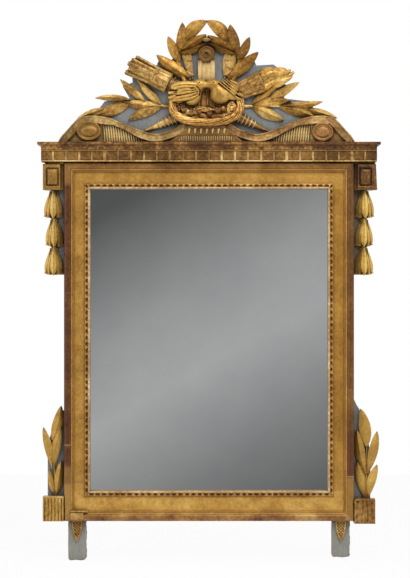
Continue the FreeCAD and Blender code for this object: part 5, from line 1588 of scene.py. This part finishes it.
def sight_mouldings():
    """Row of leaf tips with round hollows between them, beside a narrow pale lip at the glass."""
    columns = [(across, 0 if across < SIGHT_LIP_START else 1) for across in SIGHT_COLUMNS[:-1]]
    # The inner face at the glass takes the dark gilding, a painted shade
    columns.append((SIGHT_COLUMNS[-1], 2))

    def depth(x, z, across):
        run = x + SIGHT_HALF + 3 if side in ("top", "bottom") else z - SIGHT_BOTTOM + 5
        uneven = wobble(x, 0, z, 30.0)
        phase = (run / TIP_PITCH + 0.1 * uneven) % 1.0 - 0.5
        hole = max(0.0, 1 - (phase / (0.33 + 0.1 * uneven)) ** 2 - ((across - 5.6) / 2.6) ** 2)
        if across < 1.5:
            d = 0.8 + 1.6 * across
        elif across < SIGHT_LIP_START:
            d = 3.8 + 0.8 * math.sin((across - 1.5) / 6 * math.pi) - 3.8 * hole ** 0.5
        else:
            d = 5.6 - 0.3 * (across - 9.6) ** 2 + 0.5 * math.cos(phase * 2 * math.pi)
        return max(CARCASS_DEPTH + 0.3, CARCASS_DEPTH + d + 0.5 * wobble(x, across, z, 7.0))

    for side in FRAME_SIDES:
        length = 2 * SIGHT_HALF if side in ("top", "bottom") else SIGHT_TOP - SIGHT_BOTTOM
        rows = np.linspace(0, 1, int(length / 1.25))
        frame_of = (side, SIGHT_HALF + SIGHT_STRIP, SIGHT_BOTTOM - SIGHT_STRIP, SIGHT_TOP + SIGHT_STRIP)
        strip(
            f"{side}_leaf_tips", "pale_gilding", ["tips", "lip", "sight_edge_painted_shade"], f"{side}_sight_moulding",
            frame_of, rows, columns, depth, CARCASS_DEPTH,
        )


# Dentils

COURSE_HALF = 335.0
COURSE_TOP = 822.0
COURSE_DEPTH = 46.0
COURSE_BACK = 0.4
DENTIL_COUNT = 26
DENTIL_GAP = 4.2
DENTIL_FACE = 2.6
# Height of the fillets, and the dentils' distance from the band's edges
COURSE_LINE = 3
DENTIL_INSET = 3.4
# Dentils at the ends of the band: their backs and width
RETURN_BACKS = (COURSE_BACK, 22)
RETURN_WIDTH = 18


def box_shell(piece, low, high, chamfer, kind, seed=0):
    """Box with chamfered front edges, a little out of true."""
    (x0, d0, z0), (x1, d1, z1) = low, high
    c = chamfer

    def shake(k):
        return 0.7 * math.sin(seed * 3.1 + k * 1.9)

    points = [
        (x0, d0, z0), (x1, d0, z0), (x1, d0, z1), (x0, d0, z1),
        (x0, d1 - c, z0), (x1, d1 - c, z0), (x1, d1 - c, z1), (x0, d1 - c, z1),
        (x0 + c, d1 + shake(0) * 0.5, z0 + c), (x1 - c, d1 + shake(1) * 0.5, z0 + c + shake(2) * 0.4),
        (x1 - c, d1 + shake(3) * 0.5, z1 - c), (x0 + c, d1 + shake(4) * 0.5, z1 - c - abs(shake(5)) * 0.5),
    ]
    faces = [(0, 1, 2, 3), (8, 9, 10, 11)]
    for lower, upper in ((0, 4), (4, 8)):
        for k in range(4):
            n = (k + 1) % 4
            faces.append((lower + k, lower + n, upper + n, upper + k))
    piece.shell(points, faces, kind)


def dentils():
    """Band under the cornice: worn blocks on a bright ground, between two bright fillets."""
    piece = Carved()
    ground = COURSE_DEPTH - DENTIL_FACE
    half = COURSE_HALF - DENTIL_FACE
    box_shell(piece, (-half, COURSE_BACK, FRAME_TOP), (half, ground, COURSE_TOP), 0.3, 1)
    for low, kind in ((FRAME_TOP, 2), (COURSE_TOP - COURSE_LINE, 3)):
        far = (COURSE_HALF, COURSE_DEPTH - 0.5, low + COURSE_LINE)
        box_shell(piece, (-COURSE_HALF, COURSE_BACK, low), far, 0.8, kind)
    low, high = FRAME_TOP + DENTIL_INSET, COURSE_TOP - DENTIL_INSET
    pitch = (2 * COURSE_HALF + DENTIL_GAP) / DENTIL_COUNT
    for k in range(DENTIL_COUNT):
        x = -COURSE_HALF + k * pitch
        drift = 0.9 * math.sin(k * 2.7) if 0 < k < DENTIL_COUNT - 1 else 0.0
        wide = pitch - DENTIL_GAP + 0.8 * math.sin(k * 1.3)
        right = min(COURSE_HALF, x + drift + wide)
        box_shell(piece, (x + drift, ground - 1, low), (right, COURSE_DEPTH - 0.6, high), 0.9, 0, k)
    for sign in SIDES.values():
        for k, back in enumerate(RETURN_BACKS):
            ends = sorted((sign * (half - 1), sign * (COURSE_HALF - 0.3)))
            box_shell(piece, (ends[0], back, low), (ends[1], back + RETURN_WIDTH, high), 0.6, 0, k)
    materials = ["dentil", "gap", "low_line", "high_line"]
    piece.make("dentil_blocks", "worn_gilding", materials, "dentil_course", sharp=25.0)


# Ears and feet

# Upper blocks: near and far side, low and high end, and how far each goes beyond them at its top and more at
# its foot
UPPER_BLOCK_SIDES = (297.0, 332.0)
UPPER_BLOCK_SPAN = (742, 794)
UPPER_BLOCK_BEYOND = {"left": (0.0, 0.0), "right": (1.5, 2.5)}
# Lower blocks: near and far side, height, drop of their foot below the spray's, reeds and how rough they are
LOWER_BLOCK_SIDES = (290.3, 332.0)
LOWER_BLOCK_HEIGHT = 50
LOWER_BLOCK_DROP = 50
LOWER_BLOCK_REEDS = {"left": (6, 0.9), "right": (4, 1.8)}
# Fillets of the upper ears: their near and far side, low and high end, and front
EAR_FILLETS = (((290.5, 321.0), (793.6, 798.0), 35.0), ((290.4, 297.6), (742.0, 793.8), 29.0))
# How much further the fillet under the dentils runs
FILLET_REACH = {"left": 0.0, "right": 11.0}
# Outline of the shoulder on the right lower board, as (x, height)
SHOULDER = ((290.4, 292.0), (304.0, 292.0), (302.0, 303.0), (296.0, 312.0), (291.4, 322.0), (290.4, 322.0))
FOOT_CENTRE = 264.0
FOOT_FRONT = 22.0
FOOT_SOLES = {"left": 0.2, "right": 6.2}
DROP_HALF = 10.8
DROP_HEIGHT = 41.0
# Boxes of the cap over the left drop: left, right, back, front, low and high, then the chamfer
CAP = (
    (-13, 13, 33, 40.5, 84, 97, 2.2), (-13, 22, 33, 39.0, 98, 101, 0.8), (-9, 9, 39, 42, 87, 94.5, 1.6),
)


def upper_block(side):
    """Framed panel over the husks."""
    sign = SIDES[side]
    near, outer = UPPER_BLOCK_SIDES
    beyond, slant = UPPER_BLOCK_BEYOND[side]
    low, high = UPPER_BLOCK_SPAN
    centre, reach = (low + high) / 2, (high - low) / 2
    ends = sorted((sign * near, sign * outer))
    middle = sum(ends) / 2
    block = Block((ends[0] - 8, 14, low - 2), (ends[1] + 8, 45, high + 2), 0.6)

    def distance(x, d, z):
        far = x * sign - (outer + beyond) - slant * (high - z) / (high - low)
        edge = np.maximum(np.maximum(near - x * sign, far), np.abs(z - centre) - reach)
        core = np.maximum(np.abs(x - middle + 1.8 * sign) - 10.4, np.abs(z - centre) - 16.0)
        groove = np.exp(-((core - 0.9) / 1.1) ** 2) + 0.25 * np.exp(-((core + 3.4) / 0.9) ** 2)
        slope = np.clip(-core / 3.0, 0, 1)
        front = 38.4 + 2.4 * slope - 3.4 * np.clip(groove, 0, 1) - 0.35 * np.clip(edge + 3.5, 0, 4)
        return relief(edge, d, front, EAR_FRONT, 0.75)

    block.add((ends[0] - 6, EAR_FRONT, low), (ends[1] + 6, 42, high), distance)
    block.make(f"{side}_upper_block", "gilding", [f"{side}_block"], f"{side}_upper_ear_block", coarse=0.05)


def lower_block(side):
    """Reeded face under the laurel; the left one has a border."""
    foot = SPRAY_FOOT[side] - LOWER_BLOCK_DROP
    ends = sorted(SIDES[side] * x for x in LOWER_BLOCK_SIDES)
    middle, reach = sum(ends) / 2, LOWER_BLOCK_HEIGHT / 2
    reeds, rough = LOWER_BLOCK_REEDS[side]
    block = Block((ends[0] - 2, 14, foot - 2), (ends[1] + 2, 44, foot + LOWER_BLOCK_HEIGHT + 3), 0.6)

    def distance(x, d, z):
        across = (x - middle) / 20
        wander = 0.16 * np.sin(z * 0.11 + 3 * across) * rough
        wave = np.abs(np.cos(across * reeds * np.pi / 2 + wander)) ** 0.6
        worn = rough * 0.6 * np.sin(z * 0.31 + x * 0.4) * np.sin(z * 0.13 + 1.7 * across)
        level = z - foot
        border = (level > 45.5) | ((np.abs(across) > 0.88) & (side == "left"))
        front = np.where(border, 39.4 + 0 * wave, 36.0 + 3.0 * wave + worn)
        edge = np.maximum(np.abs(x - middle) - (ends[1] - ends[0]) / 2, np.abs(level - reach) - reach)
        return relief(edge, d, front, EAR_FRONT)

    block.add((ends[0], EAR_FRONT, foot), (ends[1], 41, foot + LOWER_BLOCK_HEIGHT), distance)
    block.make(f"{side}_lower_block", "gilding", [f"{side}_reeds"], f"{side}_lower_ear_block", coarse=0.05)


def ear_fillets():
    """Wood that fills the corner between an upper block, the dentils and the stile, on both sides."""
    for side, sign in SIDES.items():
        piece = Carved()
        for (near, far), (low, high), front in EAR_FILLETS:
            far += FILLET_REACH[side] if far > EAR_CENTRE else 0.0
            ends = sorted((sign * near, sign * far))
            box_shell(piece, (ends[0], EAR_FRONT - 0.4, low), (ends[1], front, high), 0.6, 0, near)
        piece.make(f"{side}_ear_fillet", "gilding", [f"{side}_block"], sharp=25.0)


def board_shoulder():
    """Sloped shoulder of the right lower board, beside the tip of its laurel."""
    piece = Carved()
    count = len(SHOULDER)
    points = [(x, d, z) for d in (0.4, EAR_FRONT - 0.4) for x, z in SHOULDER]
    faces = [tuple(range(count)), tuple(range(count, 2 * count))]
    for k in range(count):
        n = (k + 1) % count
        faces.append((k, n, count + n, count + k))
    piece.shell(points, faces)
    piece.make("right_board_shoulder", "painted_wood", ["paint"], sharp=25.0)


def foot_drop(side, *nodes):
    """Pointed drop on the face of a foot, bordered and cross-cut."""
    x0 = SIDES[side] * FOOT_CENTRE
    block = Block((x0 - 16, 19, 34), (x0 + 16, 31, 84), 0.55)

    def distance(x, d, z):
        down = np.clip((FRAME_BOTTOM - z) / DROP_HEIGHT, 0, 1)
        half = DROP_HALF * (1 - down ** 2.1) ** 0.85
        ends = np.maximum(z - FRAME_BOTTOM + 0.2, FRAME_BOTTOM - DROP_HEIGHT - z)
        edge = np.maximum((np.abs(x - x0) - half) * 0.8, ends)
        field = np.clip((-edge - 2.0) / 0.5, 0, 1)
        hatch = np.cos((x - x0 + z) * 1.0) > 0.45
        cross = np.cos((x - x0 - z) * 1.0) > 0.8
        front = FOOT_FRONT + 5.4 - field * (1.0 + 1.5 * hatch + 0.9 * cross)
        return relief(edge, d, front, FOOT_FRONT)

    block.add((x0 - 12, 21, 38), (x0 + 12, 29, 81), distance)
    block.make(f"{side}_drop_carved", "gilding", ["drop"], *nodes, coarse=0.0)


def left_cap():
    """Small cap over the drop on the left foot."""
    piece = Carved()
    for seed, (left, right, back, front, low, high, chamfer) in enumerate(CAP, 1):
        corners = (left - FOOT_CENTRE, back, low), (right - FOOT_CENTRE, front, high)
        box_shell(piece, *corners, chamfer, 0, seed)
    piece.make("left_cap", "gilding", ["drop"])


def foot(side):
    """Stub foot of painted board, with wavering sawn edges and worn corners."""
    sign = SIDES[side]
    x0 = sign * FOOT_CENTRE
    block = Block((x0 - 22, 1, -2), (x0 + 22, 25, 83), 0.8)

    def distance(x, d, z):
        waver = 0.7 * np.sin(z * 0.17 + sign) + 0.35 * np.sin(z * 0.53 + 2 * sign)
        flank = np.abs(x - x0 - 0.5 * waver) - 18.2 - 0.3 * waver
        under = FOOT_SOLES[side] + 0.5 + 0.5 * np.sin(x * 0.3) - z
        faces = np.maximum(d - FOOT_FRONT + 0.3 * np.abs(np.sin(x * 0.5 + z * 0.11)), 4 - d)
        corner = np.hypot(np.maximum(flank + 6, 0), np.maximum(under + 6, 0)) - 6
        around = np.maximum(np.maximum(corner, np.maximum(flank, under)), z - FRAME_BOTTOM)
        return np.maximum(around, faces)

    block.add((x0 - 20, 4, 0), (x0 + 20, 22, 81), distance)
    block.make(f"{side}_foot_sawn", "painted_wood", ["foot_paint"], f"{side}_foot")


# Stage

WHITE = (1, 1, 1, 1)
FLOOR_SIZE = 4.0
FLOOR_GREY = (0.9, 0.9, 0.9, 1)
# How much of the floor's own white is seen; the rest keeps the shadow
FLOOR_GLOW = 0.95
CARD_SIZE = 4.2
CARD_BEHIND = 1.5
# Direction in which the card is graded, how far the grading reaches from its middle, its greys and strength
CARD_SLOPE = (0.487, -0.873)
CARD_REACH = 0.52
CARD_GREYS = ((0.0, 60), (0.28, 86), (0.5, 153), (0.63, 169), (0.82, 126), (1.0, 84))
CARD_GLOW = 1.08
CARD_HIDDEN_FROM = ("camera", "diffuse", "shadow", "transmission", "volume_scatter")
SKY_LIGHT = 0.42
# Softboxes: place, size and power
LAMPS = {"key": ((0.7, -1.9, 1.7), (1.6, 1.2), 42), "fill": ((-1.8, -1.6, 0.4), (1.2, 1.6), 10)}
UPRIGHT = (math.radians(90), 0, 0)
CLIP_END = 50.0


def stage_plane(name, size, place, turn=(0.0, 0.0, 0.0)):
    """Square of the stage with an empty material, and the nodes of that material."""
    mesh = bpy.data.meshes.new(name)
    h = size / 2
    mesh.from_pydata([(-h, -h, 0), (h, -h, 0), (h, h, 0), (-h, h, 0)], [], [(0, 1, 2, 3)])
    material = bpy.data.materials.new(name)
    mesh.materials.append(material)
    piece = bpy.data.objects.new(name, mesh)
    piece.location = place
    piece.rotation_euler = turn
    bpy.context.scene.collection.objects.link(piece)
    return piece, Tree(material)


def floor():
    """Pale floor that is nearly white to the eye and keeps the object's shadow."""
    piece, tree = stage_plane("floor", FLOOR_SIZE, (0, 0, -ORIGIN_LEVEL * MM))
    piece.visible_glossy = False
    matt = tree.node("ShaderNodeBsdfDiffuse")
    matt.inputs["Color"].default_value = FLOOR_GREY
    share = tree.math("MULTIPLY", tree.seen_directly(), FLOOR_GLOW)
    tree.show(share, matt.outputs[0], tree.light("ShaderNodeEmission", WHITE, 1.0))


def reflected_card(distance):
    """Grey card behind the camera, graded across a diagonal, for the glass to show."""
    place = (VIEW_CENTRE[0], -distance - CARD_BEHIND, VIEW_CENTRE[1])
    piece, tree = stage_plane("card", CARD_SIZE, place, UPRIGHT)
    for kind in CARD_HIDDEN_FROM:
        setattr(piece, f"visible_{kind}", False)
    reach = 1 + (distance + CARD_BEHIND) / distance
    slope = tree.node("ShaderNodeVectorMath", operation="DOT_PRODUCT")
    slope.inputs[1].default_value = (CARD_SLOPE[0] / reach, CARD_SLOPE[1] / reach, 0)
    tree.link(tree.node("ShaderNodeTexCoord").outputs["Object"], slope.inputs[0])
    share = tree.spread(slope.outputs["Value"], -CARD_REACH, CARD_REACH, way="LINEAR")
    greys = tree.ramp(share, [(position, srgb(grey, grey, grey)) for position, grey in CARD_GREYS])
    tree.link(tree.light("ShaderNodeEmission", greys, CARD_GLOW), tree.out.inputs[0])


def world():
    """White to the eye, and a softer light on things."""
    made = bpy.data.worlds.new("studio")
    bpy.context.scene.world = made
    tree = Tree(made, "ShaderNodeOutputWorld")
    lit, seen = (tree.light("ShaderNodeBackground", WHITE, strength) for strength in (SKY_LIGHT, 1.0))
    tree.show(tree.seen_directly(), lit, seen)


def lamp(name, place, size, power):
    """Softbox that looks at the middle of the mirror."""
    data = bpy.data.lights.new(name, "AREA")
    data.shape = "RECTANGLE"
    data.size, data.size_y = size
    data.energy = power
    piece = bpy.data.objects.new(name, data)
    piece.location = place
    aim = Vector((VIEW_CENTRE[0], -FACE_DEPTH, VIEW_CENTRE[1])) - Vector(place)
    piece.rotation_euler = aim.to_track_quat("-Z", "Y").to_euler()
    bpy.context.scene.collection.objects.link(piece)


def camera():
    """Looks straight at the mirror, and returns how far from its face it stands."""
    data = bpy.data.cameras.new("camera")
    data.lens = LENS
    data.sensor_width = SENSOR
    data.clip_end = CLIP_END
    distance = FIELD_HEIGHT / 2 * LENS / (SENSOR / 2)
    piece = bpy.data.objects.new("camera", data)
    piece.location = (VIEW_CENTRE[0], -FACE_DEPTH - distance, VIEW_CENTRE[1])
    piece.rotation_euler = UPRIGHT
    bpy.context.scene.collection.objects.link(piece)
    bpy.context.scene.camera = piece
    return distance


def studio():
    bpy.context.scene.view_settings.view_transform = "Standard"
    world()
    floor()
    reflected_card(camera())
    for name, settings in LAMPS.items():
        lamp(name, *settings)


dress_frame()
laurel_branches()
laurel_crown()
ribbon_tails()
laurel_sprays()
husk_drops()
dove("left")
dove("right")
nest()
quiver()
torch()
ferrule_rings()
pedestal()
pedestal_drops()
pedestal_reeds()
shaft()
roundel()
for end in SIDES:
    scroll_band(end)
    flute_panel(end)
    boss(end)
outer_mouldings()
sight_mouldings()
dentils()
foot_drop("left", "foot_drops")
foot_drop("right")
left_cap()
for end in SIDES:
    upper_block(end)
    lower_block(end)
ear_fillets()
board_shoulder()
for end in SIDES:
    foot(end)
studio()
